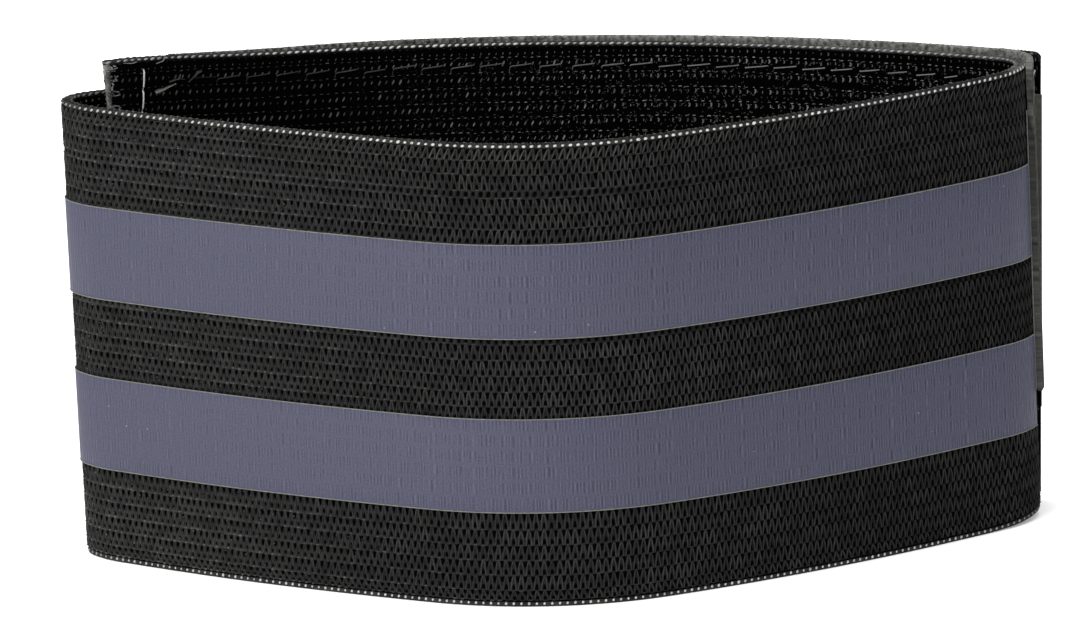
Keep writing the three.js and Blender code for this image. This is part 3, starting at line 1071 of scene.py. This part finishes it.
def outside_light(flat):
    """The lower left of the outside faces the window most, the middle of its right least: painted light
    and shade.
    """
    along, up = flat[:, 0], flat[:, 1]
    lighter = smooth(along, *LIGHTER_ALONG) * (1 - smooth(up, *LIGHTER_BELOW))
    darker = (1 - smooth(along, *DARKER_ALONG)) * smooth(up, *DARKER_ABOVE)
    darker = darker * (1 - smooth(up, *DARKER_BELOW))
    return 1 + LIGHTER_BY * lighter - DARKER_BY * darker


def net_lines(rows, start, halves):
    """The net's lines from the lowest up, with two vertices per stitch: along, up, height and
    painted lightness. Gives the web's painted light along them too."""
    heights = [rows[0][0]] + [row[1] for row in rows]
    lines = np.zeros((len(heights), halves + 1, 4))
    lines[..., 0] = start + np.arange(halves + 1) * STITCH / 2
    web = knit_light("web", lines[0, :, 0])
    drift = 0.0
    for index, height in enumerate(heights):
        drift = np.clip(drift + random.uniform(-ROW_DRIFT, ROW_DRIFT), 0, ROW_DRIFT_LIMIT)
        lean = TOP_ROW_LEAN * smooth(height, *TOP_ROW)
        lines[index, :, 0] += drift - lean + random.normal(0, KNIT_JITTER, halves + 1)
        lines[index, :, 1] = height + random.normal(0, KNIT_JITTER, halves + 1)
        bar = index == 0 or rows[index - 1][2] != "small"
        lines[index, :, 2] = YARN_RELIEF * (BAR_RELIEF_SHARE if bar else LINE_RELIEF_SHARE)
        light = web * (BAR_BRIGHTER if bar else 1.0)
        if "round" in [row[2] for row in rows[max(0, index - 1) : index + 1]]:
            light = np.maximum(light, ROUND_ROW_LIGHT)
        lines[index, :, 3] = light * random.uniform(*WEB_SPREAD, halves + 1)
    return lines, web


def net_holes(row, lower, upper, middle, web):
    """The vertices of one row between two lines: those between its holes, and the holes'."""
    low, high, kind = row
    widths, heights, narrowing = HOLES[kind]
    side_at = np.arange(middle[0] - 1, middle[-1] + 2, 2)
    sides = (lower[side_at] + upper[side_at]) / 2
    sides[:, 0] += random.normal(0, KNIT_JITTER, len(sides))
    sides[:, 2] = YARN_RELIEF * SIDE_RELIEF_SHARE
    side_light = np.maximum(web, ROUND_ROW_LIGHT) if kind == "round" else web
    sides[:, 3] = side_light[side_at] * random.uniform(*WEB_SPREAD, len(sides))
    centre = (lower[middle] + upper[middle]) / 2
    wide = np.interp(centre[:, 0], KNIT_STOPS, widths)
    wide = wide * random.normal(1, HOLE_JITTER[0], len(middle))
    tall = np.interp(centre[:, 0], KNIT_STOPS, heights) * (high - low) / 2
    tall = tall * random.normal(1, HOLE_JITTER[1], len(middle))
    slant = (upper[middle, 0] - lower[middle, 0]) / (high - low)
    holes = np.zeros((len(middle), len(AROUND), 4))
    for corner, (aside, over) in enumerate(AROUND):
        round_off = HOLE_ROUNDING if aside and over else 1.0
        narrow = 1 - max(0, narrowing * over)
        rise = over * round_off * tall
        holes[:, corner, 0] = centre[:, 0] + aside * round_off * narrow * wide + slant * rise
        holes[:, corner, 1] = centre[:, 1] + rise
        holes[:, corner, 3] = HOLE_LIGHT_SHARE * web[middle]
    return sides, holes.reshape(-1, 4)


def knit_net(rows, start, end):
    """A net with one hole per stitch in each row, the holes of a row between those of the row
    below. Gives its vertices (along, up, height, lightness), its quads, and for each row its
    lower line of vertices."""
    halves = 2 * int((end - start) / STITCH)
    lines, web = net_lines(rows, start, halves)
    vertices = [lines.reshape(-1, 4)]
    used = len(vertices[0])
    quads = []
    corners = len(AROUND)
    for index, row in enumerate(rows):
        middle = np.arange(1 + index % 2, halves, 2)
        sides, holes = net_holes(row, lines[index], lines[index + 1], middle, web)
        below = index * (halves + 1) + middle
        above = below + halves + 1
        left = used + np.arange(len(middle))
        right = left + 1
        ring = np.stack([below - 1, below, below + 1, right, above + 1, above, above - 1, left], 1)
        hole = used + len(sides) + np.arange(len(holes)).reshape(-1, corners)
        for corner in range(corners):
            after = (corner + 1) % corners
            quads.append(
                np.stack([ring[:, corner], ring[:, after], hole[:, after], hole[:, corner]], 1)
            )
        vertices += [sides, holes]
        used += len(sides) + len(holes)
    return np.concatenate(vertices), np.concatenate(quads), lines


def arch_shape(roundness):
    """The points of arches, (arches, points, 2), between straight-legged (0) and round (1)."""
    straight, curved = np.array(STRAIGHT_LEG), np.array(ROUND_LEG)
    leg = straight + (curved - straight) * roundness[:, None, None]
    top = np.broadcast_to(ARCH_TOP, (len(leg), 1, 2))
    return np.concatenate([leg, top, (leg * (-1, 1) + (1, 0))[:, ::-1]], 1)


def arch_yarns(foot, head, index):
    """The arches of one row: each rises from the foot line around a small hole to the head line."""
    middle = np.arange(1 + index % 2, foot.shape[0] - 1, 2)
    count = len(middle)
    left = foot[middle - 1, 0][:, None]
    right = foot[middle + 1, 0][:, None]
    apex = head[middle, 0][:, None]
    centre = (left + right) / 2
    shape = arch_shape(np.interp(centre[:, 0], KNIT_STOPS, ARCH_ROUNDNESS))
    x = left + (right - left) * shape[..., 0] + (apex - centre) * shape[..., 1]
    x = x + random.normal(0, ARCH_JITTER[0], x.shape)
    low, high = foot[middle, 1][:, None], head[middle, 1][:, None]
    y = low + (high - low) * shape[..., 1] + random.normal(0, ARCH_JITTER[1], (count, 1))
    uneven = 1 + random.normal(0, ARCH_WIDTH_JITTER, (count, 1))
    width = np.interp(x, KNIT_STOPS, ARCH_WIDTHS) / 2 * uneven
    body = np.sin(math.pi * np.clip(shape[..., 1], 0.1, 0.9))
    ridge = YARN_RELIEF * (ARCH_FOOT_SHARE + ARCH_BODY_SHARE * body)
    # Painted light on the ridges, with random tone
    shine = knit_light("ridge", x) * random.uniform(*ARCH_SPREAD, (count, 1))
    shine = shine * random.uniform(*ARCH_FIBRE_SPREAD, x.shape)
    top_row = np.interp(low, TOP_ROW_SHINE_FEET, (0, 1))
    shine = shine * (1 + top_row * np.linspace(*TOP_ROW_SHINE, x.shape[1]))
    return np.stack([x, y], -1), width, ridge, shine, knit_light("web", x) / shine


def crossing_yarns(foot, index):
    """Under each small hole the yarn that crosses it is painted lighter where it catches the light,
    mostly at the left.
    """
    middle = foot[np.arange(1 + index % 2, foot.shape[0] - 1, 2)]
    place = middle[:, :1]
    one_each = (len(middle), 1)
    aside, width, rise = np.array(CROSSING_SHAPE).T
    long = np.interp(place, KNIT_STOPS, CROSSING_LENGTHS) * random.uniform(*CROSSING_SPREAD, one_each)
    x = place + long / 2 * aside
    y = middle[:, 1:2] + random.normal(0, KNIT_JITTER, one_each)
    high = np.interp(place, KNIT_STOPS, CROSSING_HEIGHTS) * random.uniform(*CROSSING_SPREAD, one_each)
    spread = random.uniform(*CROSSING_LIGHT_SPREAD, one_each) ** CROSSING_LIGHT_POWER
    shine = knit_light("crossing", x) * spread
    return even_yarns(x, y + 0 * x, shine, high / 2 * width, YARN_RELIEF + rise, CROSSING_SIDE_LIGHT)


def make_outer_knit():
    """The outer face from the loop tape's cut end to the outer end, except under the film."""
    rows = knit_rows()
    end = PLACES["strap_end"]
    tape_end = PLACES["right_corner"]
    under_tape = PLACES["inner_back"] - KNIT_UNDER_TAPE
    zones = (
        ("lower", 0, LOWER_FILM, under_tape, end),
        ("lower", LOWER_FILM, TAPE_UP, under_tape, tape_end + KNIT_PAST_TAPE_BELOW),
        ("middle", LOWER_FILM + FILM_WIDTH, UPPER_FILM, tape_end - KNIT_UNDER_CUT_EDGE, end),
        ("upper", UPPER_FILM + FILM_WIDTH, STRAP_WIDTH, tape_end - KNIT_UNDER_CUT_EDGE, end),
    )
    vertices, quads = [], []
    yarns = {zone[0]: [] for zone in zones}
    used = 0
    for name, low, high, start, stop in zones:
        zone = [row for row in rows if row[1] > low and row[0] < high]
        net, faces, lines = knit_net(zone, start, stop)
        vertices.append(net)
        quads.append(faces + used)
        used += len(net)
        for index, (_, _, kind) in enumerate(zone):
            if kind == "small" and index + 2 < len(lines):
                yarns[name].append(arch_yarns(lines[index], lines[index + 2], index))
            if kind in ("small", "round"):
                yarns[name].append(crossing_yarns(lines[index], index))
        # At the left loose fibres of the yarn are painted lighter here and there, where they catch light
        count = int(OUTSIDE_FIBRES_PER_MM * (min(high, OUTSIDE_FIBRES_COUNTED_TO) - low))
        lowest, highest = OUTSIDE_FIBRES_UP
        up = (max(low, lowest), min(high, highest))
        along = (OUTSIDE_FIBRES_START, PLACES["left_corner"])
        fibres = loose_fibres("outside", count, along, up)
        if stop == end:
            yarns[name].append(fibres)
    net, faces = np.concatenate(vertices), np.concatenate(quads)
    add_to_strap(
        "knit_web", lay_on(net[:, :2], net[:, 2], 1), faces[:, ::-1], net[:, :2], OUTER_YARN,
        net[:, 3] * outside_light(net),
    )
    for name, parts in yarns.items():
        flat, depth, tone_and_painted_light, faces = join_ribbons(parts, 0.5 * YARN_RELIEF)
        add_to_strap(
            f"knit_arches_{name}", lay_on(flat, depth, 1), faces[:, ::-1], flat, OUTER_YARN,
            tone_and_painted_light * outside_light(flat),
        )


def inner_row(up, start, count):
    """One row of the inner face: each stitch shows a short loop, and a float of yarn above it.
    Towards the right the loops are hooked."""
    shift = 0.5 + random.uniform(-INNER_ROW_SHIFT, INNER_ROW_SHIFT)
    first = start + (np.arange(count)[:, None] + shift) * STITCH
    right = smooth(first, *HOOKED_RUN)
    float_rise = (FLOAT_RAISE_LEFT + right * (FLOAT_RAISE_RIGHT - FLOAT_RAISE_LEFT)) / 2
    loop, hook = np.array(INNER_LOOP), np.array(INNER_HOOK)
    loops = loop + right[..., None] * (hook - loop)
    floats = np.broadcast_to(INNER_FLOAT, (count, *np.shape(INNER_FLOAT)))
    parts = []
    for shape, rise, aside in (
        (loops, -float_rise, LOOP_ASIDE),
        (floats, float_rise, FLOAT_ASIDE),
    ):
        size = np.clip(random.normal(*INNER_SIZE, (count, 1)), *INNER_SIZE_LIMITS)
        if up > SHORT_ROW:
            size = size * (SHORT_ROW_SIZES[0] + (SHORT_ROW_SIZES[1] - SHORT_ROW_SIZES[0]) * right)
        x = first + aside + shape[..., 0] * size
        x = x + random.normal(0, INNER_JITTER[0], (count, 1))
        y = up + RIGHT_ROWS_UP * right + rise + shape[..., 1] * size
        y = y + random.normal(0, INNER_JITTER[1], (count, 1))
        shine = random.uniform(*INNER_SPREAD, (count, 1)) * np.interp(first, *INNER_LIGHT)
        wide, ridge = shape[..., 2] * size, shape[..., 3]
        parts.append(even_yarns(x, y, shine, wide, ridge, INNER_SIDE_LIGHT))
    return parts


def outer_end_inside(rows):
    """The strap's outer end shows its inner face above and below the hook tape."""
    end = PLACES["strap_end"]
    tape_top = TAPE_UP + HOOK_TAPE_WIDTH
    hook = np.array(INNER_HOOK)
    parts = []
    for up in rows:
        if TAPE_UP - END_ROWS_CLEAR < up < tape_top + END_ROWS_CLEAR:
            continue
        x = np.arange(end - END_ROWS_LENGTH, end - END_MARGIN, STITCH)[:, None]
        x = x + random.normal(0, END_ROWS_JITTER[0], x.shape) + hook[:, 0]
        y = up + random.normal(0, END_ROWS_JITTER[1], (len(x), 1)) + hook[:, 1]
        shine = random.uniform(*END_ROWS_SPREAD, (len(x), 1))
        parts.append(even_yarns(x, y, shine, *END_YARN))
    for low, high in (
        (2 * END_MARGIN, TAPE_UP - END_MARGIN),
        (tape_top + END_MARGIN, STRAP_WIDTH - END_MARGIN),
    ):
        count = int(END_FIBRES_PER_MM * (high - low))
        along = [end + place for place in END_FIBRES_RUN]
        parts.append(loose_fibres("outer end", count, along, (low, high)))
    return parts


def tangle(up):
    """Beside the fold the ends of one row's yarns lie tangled in a ring."""
    turn = np.arange(TANGLE_YARNS)[:, None] * 2 * math.pi / TANGLE_YARNS
    place = turn + random.normal(0, TANGLE_TURNS[0], turn.shape)
    way = place + math.pi / 2 + random.normal(0, TANGLE_TURNS[1], turn.shape)
    reach = random.uniform(*TANGLE_REACH, turn.shape)
    wide, tall = TANGLE_RADII
    x = TANGLE_PLACE + random.uniform(*wide, turn.shape) * np.cos(place)
    y = up + random.uniform(*tall, turn.shape) * np.sin(place)
    x = x + reach * np.cos(way) * [1, 0, -1]
    y = y + reach * np.sin(way) * [1, 0, -1]
    return even_yarns(x, y, random.uniform(*TANGLE_SPREAD, turn.shape), *TANGLE_YARN)


def in_fold_band(along, up):
    """The frayed band is narrower lower down."""
    return FOLD_BAND[0] + (along - FOLD_BAND[0]) * np.interp(up, *FOLD_BAND_NARROWING)


def make_inner_knit():
    """The inner face: rows of loops, loose fibres between them, and the frayed fold."""
    rows = list(INNER_ROWS)
    while rows[-1] > INNER_ROWS_END:
        rows.append(rows[-1] - INNER_ROW_PITCH)
    start = PLACES["raw_end"] + END_MARGIN
    count = int((PLACES["left_corner"] + INNER_PAST_CORNER - start) / STITCH)
    parts = {"lower": [], "upper": []}
    for up in rows:
        parts["lower" if up < STRAP_WIDTH / 2 else "upper"] += inner_row(up, start, count)
    parts["upper"] += outer_end_inside(rows)
    along = (INSIDE_FIBRES_START, PLACES["inner_back"])
    parts["upper"].append(loose_fibres("inside", INSIDE_FIBRES, along, INSIDE_FIBRES_UP))
    parts["upper"] += [tangle(up) for up in rows]
    fold = loose_fibres("fold", FOLD_FIBRES, FOLD_BAND, (0.5, STRAP_WIDTH - 0.4))
    line = fold[0]
    line[..., 0] = in_fold_band(line[..., 0], line[..., 1])
    parts["upper"].append(fold)
    for name, yarns in parts.items():
        flat, depth, tone_and_painted_light, faces = join_ribbons(yarns)
        add_to_strap(
            f"knit_inner_loops_{name}", lay_on(flat, depth, -1), faces, flat, INNER_YARN, tone_and_painted_light
        )


def make_fold_fuzz():
    """The frayed, paler cloth on the hem's fold."""
    along = np.arange(*FOLD_BAND, FUZZ_STEPS[0])
    up = np.arange(0.4, STRAP_WIDTH - 0.1, FUZZ_STEPS[1])
    grid = np.stack(np.meshgrid(along, up, indexing="ij"), -1)
    depth = random.uniform(*FUZZ_DEPTHS, grid.shape[:2])
    share = np.sin(math.pi * np.linspace(0.25, 1, len(along)))[:, None]
    long, tall = FUZZ_PATCH
    patches = random.uniform(*FUZZ_PATCH_SPREAD, (len(along) // long + 1, len(up) // tall + 1))
    patches = patches.repeat(long, 0).repeat(tall, 1)[: len(along), : len(up)]
    tone_and_painted_light = patches * random.uniform(*FUZZ_SPREAD, grid.shape[:2]) * share + FUZZ_LEAST_LIGHT
    start = (np.arange(len(along) - 1)[:, None] * len(up) + np.arange(len(up) - 1)).reshape(-1, 1)
    faces = start + (0, 1, len(up) + 1, len(up))
    flat = grid.reshape(-1, 2)
    flat[:, 0] = in_fold_band(flat[:, 0], flat[:, 1])
    points = lay_on(flat, depth.reshape(-1), -1)
    add_to_strap("hem_fold_fuzz", points, faces, flat, INNER_YARN, tone_and_painted_light)


def make_lint():
    """Soft fibres caught on the inner face beside the hem, and one thread near the outer end."""
    for name, shapes, from_along, material, slot in (
        ("lint", LINT_SHAPES, 0, LINT, "knitted_elastic"),
        ("end_thread", END_THREAD, PLACES["strap_end"], HEM_THREAD, "sewing_thread"),
    ):
        parts = []
        for light, *knots in shapes:
            knots = np.array(knots)
            steps = np.linspace(0, len(knots) - 1, 4 * len(knots))
            x, y, width = [np.interp(steps, np.arange(len(knots)), column)[None] for column in knots.T]
            shine = light * random.uniform(*LINT_SPREAD, x.shape)
            parts.append(even_yarns(from_along + x, y, shine, width, LINT_RIDGE, LINT_SIDE_LIGHT))
        flat, depth, tone_and_painted_light, faces = join_ribbons(parts)
        make_piece(name, lay_on(flat, depth, -1), faces, flat, material, tone_and_painted_light)


# Edges of the strap


def bead_shape():
    """A unit bead: its points, and its surface as triangles."""
    points = [(0, 0, -1)]
    for ring in range(1, BEAD_RINGS):
        tilt = math.pi * ring / BEAD_RINGS
        for side in range(BEAD_SIDES):
            turn = 2 * math.pi * side / BEAD_SIDES
            points.append(
                (math.sin(tilt) * math.cos(turn), math.sin(tilt) * math.sin(turn), -math.cos(tilt))
            )
    points.append((0, 0, 1))
    top = len(points) - 1
    base = top - BEAD_SIDES
    faces = []
    for side in range(BEAD_SIDES):
        after = (side + 1) % BEAD_SIDES
        faces.append((0, 1 + after, 1 + side))
        faces.append((top, base + side, base + after))
        for ring in range(BEAD_RINGS - 2):
            a = 1 + ring * BEAD_SIDES + side
            b = 1 + ring * BEAD_SIDES + after
            faces.append((a, b, b + BEAD_SIDES))
            faces.append((a, b + BEAD_SIDES, a + BEAD_SIDES))
    return np.array(points, float), np.array(faces)


def make_edge_loops(middle):
    """On each side of both edges, one small loop of yarn per stitch."""
    unit, faces = bead_shape()
    count = len(middle)
    one_each = (count, 1)
    front = smooth(middle, *FRONT_START_RUN) * (1 - smooth(middle, *FRONT_END_RUN))
    for name, across, up, long, deep, tall, front_tilt, tilt in EDGE_LOOPS:
        size = 1 + random.normal(0, EDGE_LOOP_SIZE_JITTER, one_each)
        tilted = tilt + front * (front_tilt - tilt)
        turn = np.radians(tilted + random.normal(0, EDGE_LOOP_TILT_JITTER, one_each))
        x, y = unit[None, :, 0] * long, unit[None, :, 1] * tall
        along = middle + size * (x * np.cos(turn) - y * np.sin(turn))
        height = up + size * (x * np.sin(turn) + y * np.cos(turn))
        out = across + size * unit[None, :, 2] * deep
        points = on_strap(along, out, height).reshape(-1, 3)
        flat = np.stack([along, height], -1).reshape(-1, 2)
        all_faces = (np.arange(count)[:, None, None] * len(unit) + faces).reshape(-1, 3)
        # Painted light along the strap, dimmer on the lower edge
        light = np.interp(middle, *(INNER_EDGE_LIGHT if across < 0 else OUTER_EDGE_LIGHT))
        if up < STRAP_WIDTH / 2:
            light = light * np.interp(middle, *LOWER_EDGE_LIGHT)
        tone_and_painted_light = light * random.uniform(*EDGE_LOOP_SPREAD, one_each) + 0 * along
        add_to_strap(name, points, all_faces[:, ::-1], flat, EDGE_LOOP, tone_and_painted_light)


def make_rim_yarns(middle):
    """Between the loops, yarns cross the rim from the outer side to the inner."""
    one_each = (len(middle), 1)
    past, across, over = np.array(RIM_YARN).T
    along = middle + 0.5 * STITCH + random.normal(0, RIM_YARN_JITTER[0], one_each) + past
    for name, out, edge in RIM_EDGES:
        up = edge + out * over + random.normal(0, RIM_YARN_JITTER[1], one_each)
        # Painted light along the rim, with a random tone
        light = np.interp(along, *RIM_LIGHT) * random.uniform(*RIM_YARN_SPREAD, one_each)
        yarns = make_threads(
            name, on_strap(along, across, up), along, up, RIM_YARN_RADIUS, EDGE_CORD,
            light * RIM_YARN_BRIGHTER,
        )


def make_edge_cords():
    """A cord under the rim's yarns, with painted light along the rim, and painted shade where it sinks
    into the strap on its inner side.
    """
    along = stations(PLACES["raw_end"], PLACES["strap_end"], step=0.7)
    rim = np.interp(along, *RIM_LIGHT) * np.interp(along, *CORD_SHARE)
    for name, bottom, top in EDGE_CORDS:
        section = capsule_section(0, 2 * CORD_HALF_WIDTH, bottom, top, CORD_ROUNDING)
        points, faces, flat = sweep(along, section)
        across, up = np.array(section).T
        # Painted light, less on the cord's outer face; painted shade on its inner side towards the left
        # return, near black where it sinks in
        outside = np.minimum(CORD_OUTSIDE_LIGHT, 2 * rim)
        light = np.where(across > CORD_HALF_WIDTH - 0.05, outside[:, None], rim[:, None])
        light[:, across < -0.1] *= 1 - CORD_PAINTED_SHADE_SHARE * smooth(along, *CORD_PAINTED_SHADE_RUN)[:, None]
        off_edge = STRAP_WIDTH / 2 - np.abs(up - STRAP_WIDTH / 2)
        light[:, (across < 0) & (off_edge > CORD_SUNK_BELOW)] = CORD_SUNK_LIGHT
        tone_and_painted_light = light * random.uniform(*CORD_SPREAD, light.shape)
        add_to_strap(name, points, faces, flat, EDGE_CORD, tone_and_painted_light)


def make_edges():
    low, high = PLACES["raw_end"] + END_MARGIN, PLACES["strap_end"] - END_MARGIN
    middle = low + (np.arange(int((high - low) / STITCH))[:, None] + 0.5) * STITCH
    make_edge_loops(middle)
    make_rim_yarns(middle)
    make_edge_cords()


# Film, tapes and threads


def make_film():
    """Both stripes, and the glue that shows along their cut edges."""
    along = stations(PLACES["right_corner"] + FILM_START, PLACES["strap_end"], step=0.8)
    for name, bottom, node in (
        ("film_stripe_lower", LOWER_FILM, "reflective_stripe_lower"),
        ("film_stripe_upper", UPPER_FILM, "reflective_stripe_upper"),
    ):
        top = bottom + FILM_WIDTH
        levels = tuple(level for level in BENT_LEVELS if bottom < level < top)
        section = capsule_section(
            FILM_ACROSS, FILM_THICKNESS, bottom, top, FILM_ROUNDING, 3, levels
        )
        points, faces, flat = sweep(along, section)
        film = make_piece(name, points, faces, flat, FILM)
        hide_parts(node)
        for side, edge in (("bottom", bottom), ("top", top)):
            section = capsule_section(
                FILM_ACROSS + GLUE_OUT, GLUE_THICKNESS, edge - GLUE_HALF_WIDTH,
                edge + GLUE_HALF_WIDTH, GLUE_ROUNDING, 3,
            )
            points, faces, flat = sweep(along, section)
            make_piece(f"{name}_{side}_edge", points, faces, flat, FILM_EDGE)


def make_loop_tape():
    """Its cords run up the tape, one beside the other, and its brushed loops lie unevenly."""
    along = stations(PLACES["loop_tape_start"], PLACES["right_corner"], step=0.2)
    top = TAPE_UP + LOOP_TAPE_WIDTH
    levels = tuple(level for level in BENT_LEVELS if level > TAPE_UP)
    section = capsule_section(
        TAPE_ACROSS, TAPE_THICKNESS, TAPE_UP, top, LOOP_TAPE_ROUNDING, levels=levels
    )
    up = np.array(section)[:, 1]
    cords = np.cos(along * 2 * math.pi / LOOP_TAPE_CORD)[:, None]
    wobble = random.normal(0, LOOP_TAPE_JITTER, (len(along), len(section), 2))
    wobble[..., 0] += LOOP_TAPE_CORD_DEPTH * cords
    lower_top = -LOOP_TAPE_LOW_TOP * (1 - smooth(along, *LOOP_TAPE_LOW_TOP_RUN))[:, None]
    wobble[..., 1] += lower_top * smooth(up, STRAP_WIDTH - 2, STRAP_WIDTH)
    points, faces, flat = sweep(along, section, LOOP_TAPE_LIFT_SHARE, wobble)
    # Painted light: the tape's top is lighter than its face, more so further along, striped with its
    # cords
    top_light = np.interp(along, *TAPE_TOP_LIGHT)[:, None] + TAPE_TOP_CORD_LIGHT * cords
    face_light = TAPE_FACE_LIGHT + TAPE_FACE_CORD_LIGHT * cords
    tone_and_painted_light = np.where(up > STRAP_WIDTH - 0.2, top_light, face_light)
    tone_and_painted_light = np.clip(tone_and_painted_light + random.normal(0, TAPE_LIGHT_JITTER, tone_and_painted_light.shape), 0, 1)
    loop = make_piece("loop_tape_pile", points, faces, flat, LOOP_PILE, tone_and_painted_light)
    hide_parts("loop_tape")

    bottom_end, top_end = CUT_EDGE_ENDS
    end = PLACES["right_corner"]
    up = np.linspace(TAPE_UP + bottom_end, top - top_end, CUT_EDGE_POINTS)[None]
    line = on_strap(end + CUT_EDGE_PAST, TAPE_ACROSS + CUT_EDGE_OUT, up, LOOP_TAPE_LIFT_SHARE)
    make_threads(
        "loop_tape_cut_edge", line, end + 0 * up, up, CUT_EDGE_RADIUS, FILM_EDGE
    )


def make_hook_tape():
    """A plain base, since only its end shows."""
    along = stations(PLACES["hook_tape_start"], PLACES["outer_end"], step=0.5)
    section = capsule_section(
        -(STRAP_THICKNESS / 2 + LAYER_GAP + HOOK_BASE_THICKNESS / 2), HOOK_BASE_THICKNESS, TAPE_UP,
        TAPE_UP + HOOK_TAPE_WIDTH, HOOK_BASE_ROUNDING, levels=HOOK_BASE_LEVELS,
    )
    points, faces, flat = sweep(along, section)
    tape = make_piece("hook_tape_base", points, faces, flat, HOOK_NYLON)
    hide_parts("hook_tape")


def make_tape_seam():
    """The seam that holds the loop tape. Each stitch comes up at its left end, lower down in the
    left part, and sinks in at its right."""
    first = np.arange(SEAM_START, PLACES["inner_back"] - 1, SEAM_PITCH)[:, None]
    first = first + np.interp(first, *SEAM_SHIFT)
    share, hook, out = np.array(SEAM_STITCH).T
    hooked = SEAM_HOOK * (1 - smooth(first, *HOOKED_RUN))
    hooked = hooked * random.uniform(*SEAM_HOOK_SPREAD, first.shape)
    along = first + np.interp(first, *SEAM_LENGTH) * share
    up = SEAM_UP + random.normal(0, SEAM_UP_JITTER, first.shape)
    up = up + hooked * hook + SEAM_RISE * share
    # The seam's thread is painted lighter further along, as painted light
    make_threads(
        "seam_stitches_upper", on_strap(along, -(STRAP_THICKNESS / 2 + out), up), along, up,
        SEAM_RADIUS, SEAM_THREAD, np.interp(along, *SEAM_LIGHT),
    )


def make_hem_seam():
    """The hem's own seam in paler thread, whose stitches dive in at both ends."""
    lowest, highest = HEM_SEAM_ENDS
    low = np.arange(highest, lowest, -HEM_SEAM_PITCH)[:, None]
    high = low + HEM_STITCH
    share = np.linspace(0, 1, HEM_STITCH_POINTS)
    low_along, high_along = np.interp(low, *HEM_SEAM_ALONG), np.interp(high, *HEM_SEAM_ALONG)
    along = high_along * (1 - share) + low_along * share
    up = high * (1 - share) + low * share
    rise = np.sin(math.pi * share) ** HEM_THREAD_FLATNESS
    out = HEM_THREAD_OUT - HEM_THREAD_DIVE + HEM_THREAD_DIVE * rise
    make_threads(
        "hem_stitches", on_strap(along, -out, up), along, up, HEM_THREAD_RADIUS, HEM_THREAD,
    )


ground = make_ground()
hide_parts("elastic_band")
make_outer_knit()
make_inner_knit()
make_fold_fuzz()
make_lint()
make_edges()
make_film()
make_loop_tape()
make_hook_tape()
make_tape_seam()
make_hem_seam()


# Floor, light and camera


def make_floor():
    """A white acrylic table, lit a little from below."""
    mesh = bpy.data.meshes.new("studio_floor")
    side = FLOOR_HALF_SIDE
    mesh.from_pydata(
        [(-side, -side, 0), (side, -side, 0), (side, side, 0), (-side, side, 0)], [], [(0, 1, 2, 3)]
    )
    floor = bpy.data.objects.new("studio_floor", mesh)
    bpy.context.scene.collection.objects.link(floor)
    material, shader = new_material(
        "white_acrylic_table_lit_below", Roughness=0.9, Emission_Color=(1, 1, 1, 1),
        Emission_Strength=TABLE_LIGHT,
    )
    noise = add_node(material, "TexNoise", Scale=3.0)
    tone = add_node(material, "MixRGB", i0=noise, i1=linear("fafafa"), i2=linear("fdfdfd"))
    material.node_tree.links.new(tone.outputs[0], shader.inputs["Base Color"])
    mesh.materials.append(material)


def make_lamp(name, place, size, power):
    """A round soft light that faces the armband."""
    light = bpy.data.lights.new(name, "AREA")
    light.shape = "DISK"
    light.size = size
    light.energy = power
    lamp = bpy.data.objects.new(name, light)
    lamp.location = place
    lamp.rotation_mode = "QUATERNION"
    lamp.rotation_quaternion = (Vector(LAMP_AIM) - Vector(place)).to_track_quat("-Z", "Y")
    bpy.context.scene.collection.objects.link(lamp)


def make_world():
    """An even white room."""
    world = bpy.data.worlds.new("studio")
    world.use_nodes = True
    background = world.node_tree.nodes["Background"]
    background.inputs["Color"].default_value = (1, 1, 1, 1)
    background.inputs["Strength"].default_value = ROOM_LIGHT
    bpy.context.scene.world = world
    bpy.context.scene.view_settings.view_transform = "Standard"


def make_camera():
    """The camera of the photograph: far off with a long lens, a little above the table."""
    rise = math.radians(CAMERA_ELEVATION)
    back = Vector((0, -math.cos(rise), math.sin(rise)))
    data = bpy.data.cameras.new("photo_camera")
    data.lens = CAMERA_LENS
    data.sensor_width = SENSOR
    data.clip_start, data.clip_end = CAMERA_CLIP
    camera = bpy.data.objects.new("photo_camera", data)
    bpy.context.scene.collection.objects.link(camera)
    camera.location = (Vector(CAMERA_TARGET) + back * CAMERA_DISTANCE) * MM
    camera.rotation_mode = "QUATERNION"
    roll = Quaternion((0, 0, 1), -math.radians(CAMERA_ROLL))
    camera.rotation_quaternion = (-back).to_track_quat("-Z", "Y") @ roll
    bpy.context.scene.camera = camera


make_floor()
for lamp in LAMPS:
    make_lamp(*lamp)
make_world()
make_camera()
